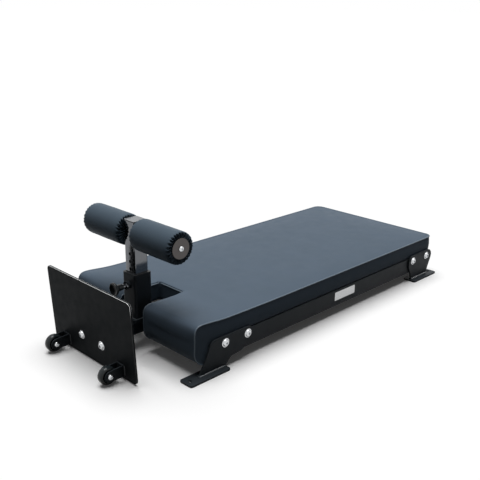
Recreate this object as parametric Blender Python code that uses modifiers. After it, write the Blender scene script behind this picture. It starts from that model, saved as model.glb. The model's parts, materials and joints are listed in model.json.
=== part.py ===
"""Hip thrust bench: a low padded bench with a foot plate, transport wheels and an ankle roller post.

Metres, +Z up. +X runs from the foot plate to the rear and +Y is the left side. The origin lies on the
floor under the middle of the bench. Positions below are measured along X from the foot plate's lower
front edge, up from the floor, and outwards from the centre plane.
"""

import math

import bmesh
import bpy
from mathutils import Matrix, Vector

MM = 0.001
GAP = 0.3 * MM  # between any two neighbouring pieces

# Rails, cross members and centre beam
RAIL_BOTTOM = 34 * MM
RAIL_WIDTH = 30 * MM
RAIL_HEIGHT = 60 * MM
RAIL_WALL = 2 * MM
TUBE_CORNER = 3 * MM
CROSS_SIZE = 40 * MM
CROSS_WALL = 2 * MM
MIDDLE_CROSS_FRONT = 560 * MM
BEAM_WIDTH = 60 * MM
BEAM_HEIGHT = 40 * MM
BEAM_WALL = 3 * MM
RAIL_CAP_THICKNESS = 3 * MM
RAIL_PLUG_LENGTH = 14 * MM
NAMEPLATE_LENGTH = 115 * MM
NAMEPLATE_HEIGHT = 31 * MM
NAMEPLATE_THICKNESS = 1 * MM
NAMEPLATE_CORNER = 3 * MM
NAMEPLATE_CENTRE = 860 * MM
NAMEPLATE_RISE = 37 * MM  # its centre, above the rails' underside

# Pad
PAD_FRONT = 147 * MM
PAD_LENGTH = 1295 * MM
PAD_WIDTH = 600 * MM
PAD_THICKNESS = 61 * MM  # at its edges
PAD_CROWN = 7 * MM
PAD_EDGE_RADIUS = 4 * MM
PAD_REAR_CORNER = 32 * MM
PAD_SIDE_DRAW = 1.5 * MM
NOSE_LENGTH = 58 * MM
NOSE_BOTTOM = 35 * MM
NOSE_TOP_RADIUS = 31 * MM
NOSE_BOTTOM_RADIUS = 45 * MM
NOSE_CLEARANCE = 3 * MM
NOTCH_WIDTH = 120 * MM
NOTCH_DEPTH = 164 * MM
BOARD_THICKNESS = 15 * MM
BOARD_INSET = 8 * MM
RAIL_REAR_INSET = 17 * MM
SCREW_DIAMETER = 6 * MM
SCREW_HEAD = 14 * MM
SCREW_HEAD_HEIGHT = 4 * MM
SCREW_BITE = 11 * MM
SCREW_OUTREACH = 180 * MM

# Foot plate and its flange
PLATE_WIDTH = 430 * MM
PLATE_HEIGHT = 260 * MM
PLATE_THICKNESS = 6 * MM
PLATE_CORNER = 15 * MM
PLATE_LEAN = math.radians(3.3)
PLATE_FLOOR_GAP = 3 * MM
FLANGE_WIDTH = 150 * MM
FLANGE_HEIGHT = 40 * MM
FLANGE_THICKNESS = 8 * MM
PLATE_BOLT_SPACING = 105 * MM

# Wheels
WHEEL_INSET = 72 * MM  # from the plate's side edge to the wheel's middle
WHEEL_DIAMETER = 56 * MM
WHEEL_WIDTH = 24 * MM
WHEEL_SHOULDER = 4 * MM
WHEEL_HUB_DIAMETER = 22 * MM
WHEEL_DISH = 3 * MM
WHEEL_FLOOR_GAP = 1.5 * MM
WHEEL_REACH = 50 * MM
FORK_HEIGHT = 36 * MM
FORK_GAUGE = 4 * MM
FORK_SIDE_GAP = 1 * MM
AXLE_BOLT_DIAMETER = 10 * MM
AXLE_NUT_FLATS = 16 * MM
AXLE_NUT_HEIGHT = 8 * MM

# Post, sleeve and liner
POST_CENTRE = 174 * MM
POST_SIZE = 50 * MM
POST_WALL = 3 * MM
POST_CORNER = 4 * MM
POST_BELOW_PIN = 25 * MM
AXLE_ABOVE_PIN = 165 * MM
POST_ABOVE_AXLE = 39 * MM
POST_CAP_THICKNESS = 3 * MM
POST_PLUG_LENGTH = 12 * MM
HOLE_PITCH = 25 * MM
HOLE_COUNT = 5
LINER_WALL = 3 * MM
LINER_LENGTH = 125 * MM
LINER_LIP = 2 * MM
SLEEVE_WALL = 4 * MM
SLEEVE_TOP = 249 * MM
SLEEVE_BASE_LENGTH = 84 * MM
SLEEVE_BASE_WIDTH = 72 * MM
SLEEVE_BASE_THICKNESS = 10 * MM
SLEEVE_BASE_CORNER = 6 * MM

# Pull pin
PIN_HEIGHT = 214 * MM
PIN_DIAMETER = 10 * MM
PIN_TRAVEL = 10 * MM
PIN_TIP_CLEARANCE = 0.6 * MM
PIN_CHAMFER = 1 * MM
STEM_DIAMETER = 7 * MM
COLLAR_DIAMETER = 11.4 * MM
COLLAR_THICKNESS = 2 * MM
BARREL_DIAMETER = 15 * MM
BARREL_WALL = 1.5 * MM
BARREL_END_WALL = 3 * MM
BARREL_IN_KNOB = 6 * MM
BOSS_DIAMETER = 24 * MM
BOSS_LENGTH = 10.3 * MM
LOCKNUT_FLATS = 22 * MM
LOCKNUT_THICKNESS = 5 * MM
KNOB_DIAMETER = 42 * MM
KNOB_NECK_DIAMETER = 20 * MM
KNOB_LENGTH = 34 * MM
KNOB_RIM = 8 * MM
KNOB_FACE_THICKNESS = 8 * MM
SPRING_WIRE = 1.2 * MM
SPRING_TURNS = 4

# Ankle rollers
ROLLER_LENGTH = 188 * MM
ROLLER_INNER_GAP = 2 * MM  # from the post's side to the roller's rim
ROLLER_DIAMETER = 102 * MM
ROLLER_TAPER = 1 * MM  # less radius at the rims than in the middle
ROLLER_RIM = 9 * MM
ROLLER_AXLE_DIAMETER = 20 * MM
CORE_WALL = 5 * MM
DISC_DIAMETER = 64 * MM
DISC_THICKNESS = 4 * MM
DISC_MARGIN = 1 * MM
DISC_BEVEL = 1 * MM
END_BOLT_DIAMETER = 10 * MM
END_BOLT_BITE = 24 * MM
BUTTON_DIAMETER = 17.5 * MM
BUTTON_HEIGHT = 5.5 * MM
BUTTON_SOCKET = 6 * MM

# Foot brackets
BRACKET_GAUGE = 6 * MM
BRACKET_BOLT_SPACING = 96 * MM
BRACKET_BOLT_DROP = 11 * MM  # below the rails' top
BRACKET_RISE = 22 * MM  # above the bolts
BRACKET_LOBE = 26 * MM
FRONT_BRACKET_BOLT = 264 * MM
REAR_BOLT_INSET = 35 * MM  # from the rails' rear ends to the last bolt
BRACKET_FOOT_LENGTH = 106 * MM
BRACKET_FOOT_SETBACK = 2 * MM  # from the first bolt to the foot's inner end
FRONT_RAKE = 53 * MM  # how far the front brackets' outer edge leans in
REAR_RAKE = 48 * MM
BRACKET_TIP_RADIUS = 22 * MM
FRONT_BEND_RADIUS = 60 * MM
FRONT_HEEL_RADIUS = 12 * MM
FRONT_HEEL_DROP = 4 * MM  # below the rails' underside
FRONT_TOE_RADIUS = 24 * MM
REAR_HEEL_RADIUS = 16 * MM
REAR_HEEL_DROP = 2 * MM
REAR_HEEL_SETBACK = 8 * MM
BASE_LENGTH = 160 * MM
BASE_WIDTH = 54 * MM
BASE_THICKNESS = 6 * MM
BASE_CORNER = 8 * MM
REAR_BASE_INSET = 11 * MM
FRONT_BASE_OVERHANG = 4 * MM
BASE_HOLE_DIAMETER = 12 * MM
BASE_HOLE_INSET = 18 * MM
BOLT_DIAMETER = 12 * MM
BOLT_HOLE_SLACK = 1 * MM
BOLT_COLLAR = 29 * MM
BOLT_DOME = 23 * MM
BOLT_COLLAR_HEIGHT = 2 * MM
BOLT_HEAD_HEIGHT = 8 * MM
BOLT_SOCKET = 8 * MM
NUT_FLATS = 19 * MM
NUT_HEIGHT = 10 * MM
WELD_NUT_DIAMETER = 17 * MM
WELD_NUT_LENGTH = 10 * MM

# Facets
ROUND_STEPS = 12
MEDIUM_ROUND_STEPS = 24
LARGE_ROUND_STEPS = 28
ARC_STEPS = 4

# Heights, lengths and places that follow from the sizes above
rail_top = RAIL_BOTTOM + RAIL_HEIGHT
half_width = PAD_WIDTH / 2
rail_inside = half_width - RAIL_WIDTH
pad_rear = PAD_FRONT + PAD_LENGTH
pad_bottom = rail_top + GAP
pad_edge_top = pad_bottom + PAD_THICKNESS
rail_front = PAD_FRONT + NOSE_LENGTH + NOSE_CLEARANCE
rail_rear = pad_rear - RAIL_REAR_INSET
notch_rear = PAD_FRONT + NOTCH_DEPTH
cross_centre_z = rail_top - CROSS_SIZE / 2
beam_centre_z = rail_top - BEAM_HEIGHT / 2
screw_crosses = (MIDDLE_CROSS_FRONT + CROSS_SIZE / 2, rail_rear - CROSS_SIZE / 2)

plate_bolt_hole = BOLT_DIAMETER + BOLT_HOLE_SLACK
flange_front = PLATE_THICKNESS + GAP
flange_rear = flange_front + FLANGE_THICKNESS
flange_centre_z = (beam_centre_z - PLATE_FLOOR_GAP) / math.cos(PLATE_LEAN)

wheel_track = PLATE_WIDTH - 2 * WHEEL_INSET
wheel_axle_height = WHEEL_DIAMETER / 2 + WHEEL_FLOOR_GAP
wheel_axle_z = (
    wheel_axle_height - PLATE_FLOOR_GAP + WHEEL_REACH * math.sin(PLATE_LEAN)
) / math.cos(PLATE_LEAN)
wheel_axle_x = -WHEEL_REACH * math.cos(PLATE_LEAN) - wheel_axle_z * math.sin(PLATE_LEAN)
fork_gap = WHEEL_WIDTH + 2 * FORK_SIDE_GAP
fork_width = fork_gap + 2 * FORK_GAUGE

liner_inside = POST_SIZE + 2 * GAP
liner_outside = liner_inside + 2 * LINER_WALL
sleeve_inside = liner_outside + 2 * GAP
sleeve_outside = sleeve_inside + 2 * SLEEVE_WALL
sleeve_base_top = rail_top + GAP + SLEEVE_BASE_THICKNESS
post_bottom = PIN_HEIGHT - POST_BELOW_PIN
roller_height = PIN_HEIGHT + AXLE_ABOVE_PIN
post_top = roller_height + POST_ABOVE_AXLE

# Along the pull pin's axis, from the post's front face: negative is towards the foot plate
sleeve_face = -(sleeve_outside - POST_SIZE) / 2
barrel_front = -(sleeve_inside - POST_SIZE) / 2 - GAP
barrel_shoulder = barrel_front - BARREL_END_WALL
collar_front = barrel_shoulder - GAP - PIN_TRAVEL
locknut_front = sleeve_face - BOSS_LENGTH - GAP
locknut_rear = locknut_front - LOCKNUT_THICKNESS
knob_front = locknut_rear - PIN_TRAVEL - GAP
barrel_rear = knob_front - BARREL_IN_KNOB
knob_floor = barrel_rear - PIN_TRAVEL - GAP
knob_rear = knob_front - KNOB_LENGTH
stem_rear = knob_rear + KNOB_FACE_THICKNESS + GAP

# Along the rollers' axle, outwards from the centre plane
roller_inner = POST_SIZE / 2 + ROLLER_INNER_GAP
roller_outer = roller_inner + ROLLER_LENGTH
disc_inner = roller_outer - DISC_THICKNESS
core_inner = POST_SIZE / 2 + GAP
core_outer = disc_inner - GAP
core_bore = ROLLER_AXLE_DIAMETER + 2 * GAP
core_diameter = core_bore + 2 * CORE_WALL

bracket_bolt_z = rail_top - BRACKET_BOLT_DROP
bracket_top = bracket_bolt_z + BRACKET_RISE
bracket_centre_y = half_width + GAP + BRACKET_GAUGE / 2
rear_bracket_bolt = rail_rear - REAR_BOLT_INSET - BRACKET_BOLT_SPACING
rear_base_end = rear_bracket_bolt - BRACKET_FOOT_SETBACK - REAR_BASE_INSET + BASE_LENGTH
bracket_bolts = [
    first + step * BRACKET_BOLT_SPACING
    for first in (FRONT_BRACKET_BOLT, rear_bracket_bolt)
    for step in (0, 1)
]

# Finishes: colour, roughness and metallic value
BLACK_PAINT = ("17181A", 0.42, 0.0)
PLATE_PAINT = ("131315", 0.62, 0.0)
CHROME = ("DADCDD", 0.08, 1.0)
ZINC = ("C4C6C8", 0.24, 1.0)
DISC_METAL = ("6E6660", 0.34, 1.0)
BARE_SILVER = ("C9CBCC", 0.30, 1.0)
BLACK_PLASTIC = ("18181A", 0.38, 0.0)
GLOSSY_TYRE = ("0E0E10", 0.16, 0.0)
SLATE_VINYL = ("3C434C", 0.46, 0.0)
DARK_VINYL = ("2B2F35", 0.44, 0.0)
CORE_PLASTIC = ("1C1C1E", 0.50, 0.0)
PLYWOOD = ("B58E5F", 0.75, 0.0)
SPRING_STEEL = ("9A9C9E", 0.30, 1.0)

# Mesh axes: what a shape's own Z becomes
ALONG = {
    "X": Matrix(((0, 0, 1, 0), (1, 0, 0, 0), (0, 1, 0, 0), (0, 0, 0, 1))),
    "Y": Matrix(((1, 0, 0, 0), (0, 0, -1, 0), (0, 1, 0, 0), (0, 0, 0, 1))),
    "Z": Matrix.Identity(4),
}

for startup_object in list(bpy.data.objects):
    bpy.data.objects.remove(startup_object)
parts = bpy.data.collections.new("hip_thrust_bench")
cutters = bpy.data.collections.new("cutters")
bpy.context.scene.collection.children.link(parts)
bpy.context.scene.collection.children.link(cutters)


def linear(hex_colour):
    """The linear RGBA value of an sRGB hex colour."""
    channels = [int(hex_colour[start : start + 2], 16) / 255 for start in (0, 2, 4)]
    return [c / 12.92 if c <= 0.04045 else ((c + 0.055) / 1.055) ** 2.4 for c in channels] + [1.0]


def material(name, finish):
    colour, roughness, metallic = finish
    made = bpy.data.materials.new(name)
    made.use_nodes = True
    shader = made.node_tree.nodes["Principled BSDF"]
    shader.inputs["Base Color"].default_value = linear(colour)
    shader.inputs["Roughness"].default_value = roughness
    shader.inputs["Metallic"].default_value = metallic
    made.diffuse_color = linear(colour)
    return made


def empty(name, location, parent=None, rotation=(0, 0, 0)):
    guide = bpy.data.objects.new(name, None)
    guide.location = location
    guide.rotation_euler = rotation
    guide.parent = parent
    parts.objects.link(guide)
    return guide


def piece(name, mesh, location, finish, parent, rotation=(0, 0, 0)):
    """One sub-part, with a material of its own on its own link to the mesh."""
    mesh.shade_smooth()
    mesh.set_sharp_from_angle(angle=math.radians(32))
    made = bpy.data.objects.new(name, mesh)
    made.location = location
    made.rotation_euler = rotation
    made.parent = parent
    parts.objects.link(made)
    if not mesh.materials:
        mesh.materials.append(None)
    made.material_slots[0].link = "OBJECT"
    made.material_slots[0].material = material(name, finish)
    return made


def combine(target, mesh, location, operation="DIFFERENCE"):
    """Cuts a mesh out of the target, or joins it on, at a place in the target's parent's frame."""
    tool = bpy.data.objects.new(f"{target.name}_tool_{len(target.modifiers)}", mesh)
    tool.location = location
    tool.parent = target.parent
    tool.hide_render = True
    tool.display_type = "WIRE"
    cutters.objects.link(tool)
    modifier = target.modifiers.new(tool.name, "BOOLEAN")
    modifier.operation = operation
    modifier.object = tool


def evaluated_mesh(drawn):
    """The object's mesh with its modifiers applied. The object itself is removed."""
    bpy.context.view_layer.update()
    graph = bpy.context.evaluated_depsgraph_get()
    mesh = bpy.data.meshes.new_from_object(drawn.evaluated_get(graph))
    bpy.data.objects.remove(drawn)
    return mesh


def edited(mesh, edit):
    """Runs one bmesh edit on a mesh."""
    work = bmesh.new()
    work.from_mesh(mesh)
    edit(work)
    bmesh.ops.recalc_face_normals(work, faces=work.faces)
    work.to_mesh(mesh)
    work.free()
    return mesh


def welded(mesh):
    return edited(mesh, lambda work: bmesh.ops.remove_doubles(work, verts=work.verts, dist=1e-6))


def rounded(corners, steps=ARC_STEPS):
    """A closed outline through (u, v, radius) corners, each rounded to its own radius."""
    points = []
    for index, (u, v, radius) in enumerate(corners):
        corner = Vector((u, v))
        if radius <= 0:
            points.append(corner)
            continue
        before = (Vector(corners[index - 1][:2]) - corner).normalized()
        after = (Vector(corners[(index + 1) % len(corners)][:2]) - corner).normalized()
        half = before.angle(after) / 2
        centre = corner + (before + after).normalized() * (radius / math.sin(half))
        spoke = corner + before * (radius / math.tan(half)) - centre
        turn = math.copysign(math.pi - 2 * half, before.y * after.x - before.x * after.y)
        for step in range(steps + 1):
            points.append(centre + Matrix.Rotation(turn * step / steps, 2) @ spoke)
    return points


def rectangle(width, height, radius=0.0, steps=ARC_STEPS):
    u, v = width / 2, height / 2
    return rounded([(-u, -v, radius), (u, -v, radius), (u, v, radius), (-u, v, radius)], steps)


def circle(diameter, centre=(0, 0), steps=ROUND_STEPS):
    angles = [2 * math.pi * step / steps for step in range(steps)]
    return [
        (centre[0] + math.cos(angle) * diameter / 2, centre[1] + math.sin(angle) * diameter / 2)
        for angle in angles
    ]


def hexagon(flats):
    return circle(flats / math.cos(math.pi / 6), steps=6)


def tube_outlines(width, height, wall, corner=TUBE_CORNER, steps=2):
    inner_corner = max(corner - wall, corner / 4)
    return [
        rectangle(width, height, corner, steps),
        rectangle(width - 2 * wall, height - 2 * wall, inner_corner, steps),
    ]


def prism(outlines, depth, along="Z"):
    """A flat outline with its holes, centred, and depth thick along one axis."""
    curve = bpy.data.curves.new("outline", "CURVE")
    curve.dimensions = "2D"
    curve.fill_mode = "BOTH"
    curve.extrude = depth / 2
    for outline in outlines:
        spline = curve.splines.new("POLY")
        spline.points.add(len(outline) - 1)
        for point, (u, v) in zip(spline.points, outline):
            point.co = (u, v, 0, 1)
        spline.use_cyclic_u = True
    drawn = bpy.data.objects.new("outline", curve)
    bpy.context.scene.collection.objects.link(drawn)
    mesh = welded(evaluated_mesh(drawn))
    mesh.transform(ALONG[along])
    return mesh


def box(length, width, height):
    mesh = bpy.data.meshes.new("box")
    work = bmesh.new()
    bmesh.ops.create_cube(work, size=1, matrix=Matrix.Diagonal((length, width, height, 1)))
    work.to_mesh(mesh)
    work.free()
    return mesh


def cylinder(diameter, depth, along="Z", steps=ROUND_STEPS):
    mesh = bpy.data.meshes.new("cylinder")
    work = bmesh.new()
    radius = diameter / 2
    bmesh.ops.create_cone(
        work, cap_ends=True, segments=steps, radius1=radius, radius2=radius, depth=depth
    )
    work.to_mesh(mesh)
    work.free()
    mesh.transform(ALONG[along])
    return mesh


def turned(profile, along="Z", steps=ROUND_STEPS, closed=False):
    """Turns (radius, height) points about an axis. They run down the outer side, top to bottom."""
    mesh = bpy.data.meshes.new("profile")
    work = bmesh.new()
    verts = [work.verts.new((radius, 0, height)) for radius, height in profile]
    pairs = list(zip(verts, verts[1:]))
    if closed:
        pairs.append((verts[-1], verts[0]))
    for pair in pairs:
        work.edges.new(pair)
    work.to_mesh(mesh)
    work.free()
    drawn = bpy.data.objects.new("profile", mesh)
    bpy.context.scene.collection.objects.link(drawn)
    screw = drawn.modifiers.new("turn", "SCREW")
    screw.steps = screw.render_steps = steps
    screw.use_merge_vertices = True
    screw.merge_threshold = 1e-5
    made = evaluated_mesh(drawn)
    made.transform(ALONG[along])
    return made


def carved(mesh, tool_mesh, tool_location):
    """The mesh with one tool cut out of it."""
    target = bpy.data.objects.new("target", mesh)
    tool = bpy.data.objects.new("tool", tool_mesh)
    tool.location = tool_location
    for drawn in (target, tool):
        bpy.context.scene.collection.objects.link(drawn)
    modifier = target.modifiers.new("cut", "BOOLEAN")
    modifier.object = tool
    made = evaluated_mesh(target)
    bpy.data.objects.remove(tool)
    return made


def bolt_mesh(head, head_height, socket_flats, diameter, length):
    """A bolt that points up, seated at height 0, with a hexagon socket in its head."""
    profile = [(0, head_height), *head, (diameter / 2, 0), (diameter / 2, -length), (0, -length)]
    socket_depth = head_height / 2
    socket = prism([hexagon(socket_flats)], 2 * socket_depth)
    return carved(turned(profile), socket, (0, 0, head_height))


def collar_bolt_mesh(length):
    dome, collar = BOLT_DOME / 2, BOLT_COLLAR / 2
    head = [
        (0.70 * dome, 0.90 * BOLT_HEAD_HEIGHT),
        (dome, 1.2 * BOLT_COLLAR_HEIGHT),
        (collar, BOLT_COLLAR_HEIGHT),
        (collar, 0),
    ]
    return bolt_mesh(head, BOLT_HEAD_HEIGHT, BOLT_SOCKET, BOLT_DIAMETER, length)


def button_bolt_mesh(diameter, length):
    button = BUTTON_DIAMETER / 2
    head = [
        (0.70 * button, 0.88 * BUTTON_HEIGHT),
        (button, 0.20 * BUTTON_HEIGHT),
        (button, 0),
    ]
    return bolt_mesh(head, BUTTON_HEIGHT, BUTTON_SOCKET, diameter, length)


def side_name(side):
    return "left" if side > 0 else "right"


def outward(side):
    """The rotation that points a bolt's head to +Y or -Y."""
    return (-side * math.pi / 2, 0, 0)


def add_rails():
    middle = (rail_front + rail_rear) / 2
    length = rail_rear - rail_front
    nut_reach = WELD_NUT_LENGTH + RAIL_WALL / 2
    nut_hole = BOLT_DIAMETER + 2 * GAP
    plug_slack = 2 * (RAIL_WALL + GAP)
    for side in (1, -1):
        centre_y = side * (half_width - RAIL_WIDTH / 2)
        centre_z = RAIL_BOTTOM + RAIL_HEIGHT / 2
        outlines = tube_outlines(RAIL_WIDTH, RAIL_HEIGHT, RAIL_WALL)
        rail = piece(
            f"side_rail_{side_name(side)}",
            prism(outlines, length, "X"),
            (middle, centre_y, centre_z),
            BLACK_PAINT,
            bench,
        )
        nut_y = side * (half_width - RAIL_WALL / 2 - nut_reach / 2)
        for x in bracket_bolts:
            nut = cylinder(WELD_NUT_DIAMETER, nut_reach, "Y")
            combine(rail, nut, (x, nut_y, bracket_bolt_z), "UNION")
        for x in bracket_bolts:
            bore = cylinder(nut_hole, 2 * nut_reach, "Y")
            combine(rail, bore, (x, side * (half_width - nut_reach / 2), bracket_bolt_z))
        cap = piece(
            f"rail_cap_{side_name(side)}",
            prism([rectangle(RAIL_WIDTH, RAIL_HEIGHT, TUBE_CORNER, 2)], RAIL_CAP_THICKNESS, "X"),
            (rail_rear + GAP + RAIL_CAP_THICKNESS / 2, centre_y, centre_z),
            BLACK_PLASTIC,
            bench,
        )
        rim = cap.modifiers.new("rim", "BEVEL")
        rim.width = RAIL_CAP_THICKNESS / 3
        rim.segments = 1
        plug_length = RAIL_PLUG_LENGTH + RAIL_CAP_THICKNESS / 2
        plug = rectangle(RAIL_WIDTH - plug_slack, RAIL_HEIGHT - plug_slack, RAIL_WALL, 1)
        plug_x = rail_rear + GAP + RAIL_CAP_THICKNESS / 2 - plug_length / 2
        combine(cap, prism([plug], plug_length, "X"), (plug_x, centre_y, centre_z), "UNION")


def add_cross_members():
    outlines = tube_outlines(CROSS_SIZE, CROSS_SIZE, CROSS_WALL)
    beam_side = BEAM_WIDTH / 2 + GAP
    half_length = rail_inside - beam_side - GAP
    for side in (1, -1):
        piece(
            f"front_cross_{side_name(side)}",
            prism(outlines, half_length, "Y"),
            (rail_front + CROSS_SIZE / 2, side * (beam_side + half_length / 2), cross_centre_z),
            BLACK_PAINT,
            bench,
        )
    for name, x in zip(("middle_cross_member", "rear_cross_member"), screw_crosses):
        cross = piece(
            name,
            prism(outlines, 2 * (rail_inside - GAP), "Y"),
            (x, 0, cross_centre_z),
            BLACK_PAINT,
            bench,
        )
        for side in (1, -1):
            hole = cylinder(SCREW_DIAMETER + 2 * GAP, 2 * CROSS_SIZE)
            combine(cross, hole, (x, side * SCREW_OUTREACH, cross_centre_z))


def add_centre_beam():
    rear = MIDDLE_CROSS_FRONT - GAP
    beam = piece(
        "centre_beam",
        prism(tube_outlines(BEAM_WIDTH, BEAM_HEIGHT, BEAM_WALL), rear, "X"),
        (rear / 2, 0, beam_centre_z),
        BLACK_PAINT,
        bench,
    )
    # The front end is cut off square to the leaning flange.
    reach = BEAM_HEIGHT
    end_cut = box(2 * reach, 2 * BEAM_WIDTH, 2 * BEAM_HEIGHT + 2 * reach)
    end_cut.transform(Matrix.Rotation(-PLATE_LEAN, 4, "Y"))
    centre = plate_point(flange_rear + GAP - reach, flange_centre_z)
    combine(beam, end_cut, centre)


def plate_point(depth, height):
    """A place in the foot plate's leaning frame, in the bench's frame."""
    lean = Matrix.Rotation(-PLATE_LEAN, 3, "Y")
    return Vector((0, 0, PLATE_FLOOR_GAP)) + lean @ Vector((depth, 0, height))


def add_foot_plate():
    holes = [
        circle(plate_bolt_hole, (side * PLATE_BOLT_SPACING / 2, 0)) for side in (1, -1)
    ]
    lift = PLATE_HEIGHT / 2 - flange_centre_z
    plate_holes = [[(u, v - lift) for u, v in hole] for hole in holes]
    plate = [rectangle(PLATE_WIDTH, PLATE_HEIGHT, PLATE_CORNER, 6), *plate_holes]
    piece(
        "foot_plate",
        prism(plate, PLATE_THICKNESS, "X"),
        (PLATE_THICKNESS / 2, 0, PLATE_HEIGHT / 2),
        PLATE_PAINT,
        plate_frame,
    )
    flange = [rectangle(FLANGE_WIDTH, FLANGE_HEIGHT, TUBE_CORNER, 2), *holes]
    piece(
        "beam_flange",
        prism(flange, FLANGE_THICKNESS, "X"),
        ((flange_front + flange_rear) / 2, 0, flange_centre_z),
        BLACK_PAINT,
        plate_frame,
    )
    bolt = collar_bolt_mesh(flange_rear + 2 * GAP + NUT_HEIGHT)
    nut = prism([hexagon(NUT_FLATS), circle(BOLT_DIAMETER + 2 * GAP)], NUT_HEIGHT, "X")
    for side in (1, -1):
        y = side * PLATE_BOLT_SPACING / 2
        piece(
            f"foot_plate_bolt_{side_name(side)}",
            bolt,
            (-GAP, y, flange_centre_z),
            ZINC,
            plate_frame,
            (0, -math.pi / 2, 0),
        )
        piece(
            f"foot_plate_nut_{side_name(side)}",
            nut,
            (flange_rear + GAP + NUT_HEIGHT / 2, y, flange_centre_z),
            ZINC,
            plate_frame,
        )


def wheel_profile():
    bore = AXLE_BOLT_DIAMETER / 2 + GAP
    hub = WHEEL_HUB_DIAMETER / 2
    tread = WHEEL_DIAMETER / 2
    rim = tread - 2 * WHEEL_SHOULDER
    hub_half = fork_gap / 2 - GAP
    half = WHEEL_WIDTH / 2
    upper = [
        (bore, hub_half),
        (hub, hub_half),
        (hub, half - WHEEL_DISH),
        (rim, half - WHEEL_DISH),
        (rim, half),
        (tread - WHEEL_SHOULDER, half),
        (tread, half - WHEEL_SHOULDER / 2),
    ]
    return upper + [(radius, -height) for radius, height in reversed(upper)]


def add_wheels():
    end = FORK_HEIGHT / 2
    nose = -WHEEL_REACH - end
    side_view = rounded([(0, -end, 0), (0, end, 0), (nose, end, end), (nose, -end, end)], 6)
    hole = circle(AXLE_BOLT_DIAMETER + 2 * GAP, (-WHEEL_REACH, 0))
    wheel = turned(wheel_profile(), "Y", MEDIUM_ROUND_STEPS, closed=True)
    axle = button_bolt_mesh(AXLE_BOLT_DIAMETER, fork_width + 2 * GAP + AXLE_NUT_HEIGHT)
    bore = circle(AXLE_BOLT_DIAMETER + 2 * GAP)
    nut = prism([hexagon(AXLE_NUT_FLATS), bore], AXLE_NUT_HEIGHT, "Y")
    for side in (1, -1):
        name = side_name(side)
        y = side * wheel_track / 2
        centre = (-WHEEL_REACH, y, wheel_axle_z)
        fork = piece(
            f"wheel_fork_{name}",
            prism([side_view, hole], fork_width, "Y"),
            (-GAP, y, wheel_axle_z),
            BLACK_PAINT,
            plate_frame,
        )
        slot = box(2 * WHEEL_REACH, fork_gap, 2 * FORK_HEIGHT)
        slot_x = -GAP - FORK_GAUGE - WHEEL_REACH
        combine(fork, slot, (slot_x, y, wheel_axle_z))
        piece(f"wheel_{name}", wheel, centre, GLOSSY_TYRE, plate_frame)
        head_y = y - fork_width / 2 - GAP
        piece(
            f"wheel_axle_{name}",
            axle,
            (-WHEEL_REACH, head_y, wheel_axle_z),
            ZINC,
            plate_frame,
            outward(-1),
        )
        nut_y = y + fork_width / 2 + GAP + AXLE_NUT_HEIGHT / 2
        piece(f"wheel_nut_{name}", nut, (-WHEEL_REACH, nut_y, wheel_axle_z), ZINC, plate_frame)


def add_sleeve():
    base = rectangle(SLEEVE_BASE_LENGTH, SLEEVE_BASE_WIDTH, SLEEVE_BASE_CORNER, 3)
    sleeve = piece(
        "post_sleeve",
        prism([base], SLEEVE_BASE_THICKNESS),
        (POST_CENTRE, 0, sleeve_base_top - SLEEVE_BASE_THICKNESS / 2),
        BLACK_PAINT,
        bench,
    )
    foot = sleeve_base_top - SLEEVE_WALL
    height = SLEEVE_TOP - foot
    tube = tube_outlines(sleeve_outside, sleeve_outside, SLEEVE_WALL, 2 * SLEEVE_WALL, ARC_STEPS)
    combine(sleeve, prism(tube, height), (POST_CENTRE, 0, foot + height / 2), "UNION")
    boss_length = BOSS_LENGTH + SLEEVE_WALL / 2
    boss = cylinder(BOSS_DIAMETER, boss_length, "X", MEDIUM_ROUND_STEPS)
    boss_x = post_face + sleeve_face + SLEEVE_WALL / 2 - boss_length / 2
    combine(sleeve, boss, (boss_x, 0, PIN_HEIGHT), "UNION")
    hole = cylinder(BARREL_DIAMETER + 2 * GAP, 2 * boss_length, "X")
    combine(sleeve, hole, (post_face + sleeve_face - boss_length / 2, 0, PIN_HEIGHT))

    liner_top = SLEEVE_TOP + GAP + LINER_LIP
    liner_height = LINER_LENGTH + GAP + LINER_LIP
    tube = tube_outlines(liner_outside, liner_outside, LINER_WALL, POST_CORNER + LINER_WALL, 3)
    liner = piece(
        "sleeve_liner",
        prism(tube, liner_height),
        (POST_CENTRE, 0, liner_top - liner_height / 2),
        BLACK_PLASTIC,
        bench,
    )
    lip = [
        rectangle(sleeve_outside - LINER_LIP, sleeve_outside - LINER_LIP, POST_CORNER, 3),
        rectangle(liner_outside - LINER_WALL, liner_outside - LINER_WALL, POST_CORNER, 3),
    ]
    combine(liner, prism(lip, LINER_LIP), (POST_CENTRE, 0, liner_top - LINER_LIP / 2), "UNION")
    pin_way = cylinder(PIN_DIAMETER + 2 * GAP, 4 * LINER_WALL, "X")
    combine(liner, pin_way, (post_face, 0, PIN_HEIGHT))


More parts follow.
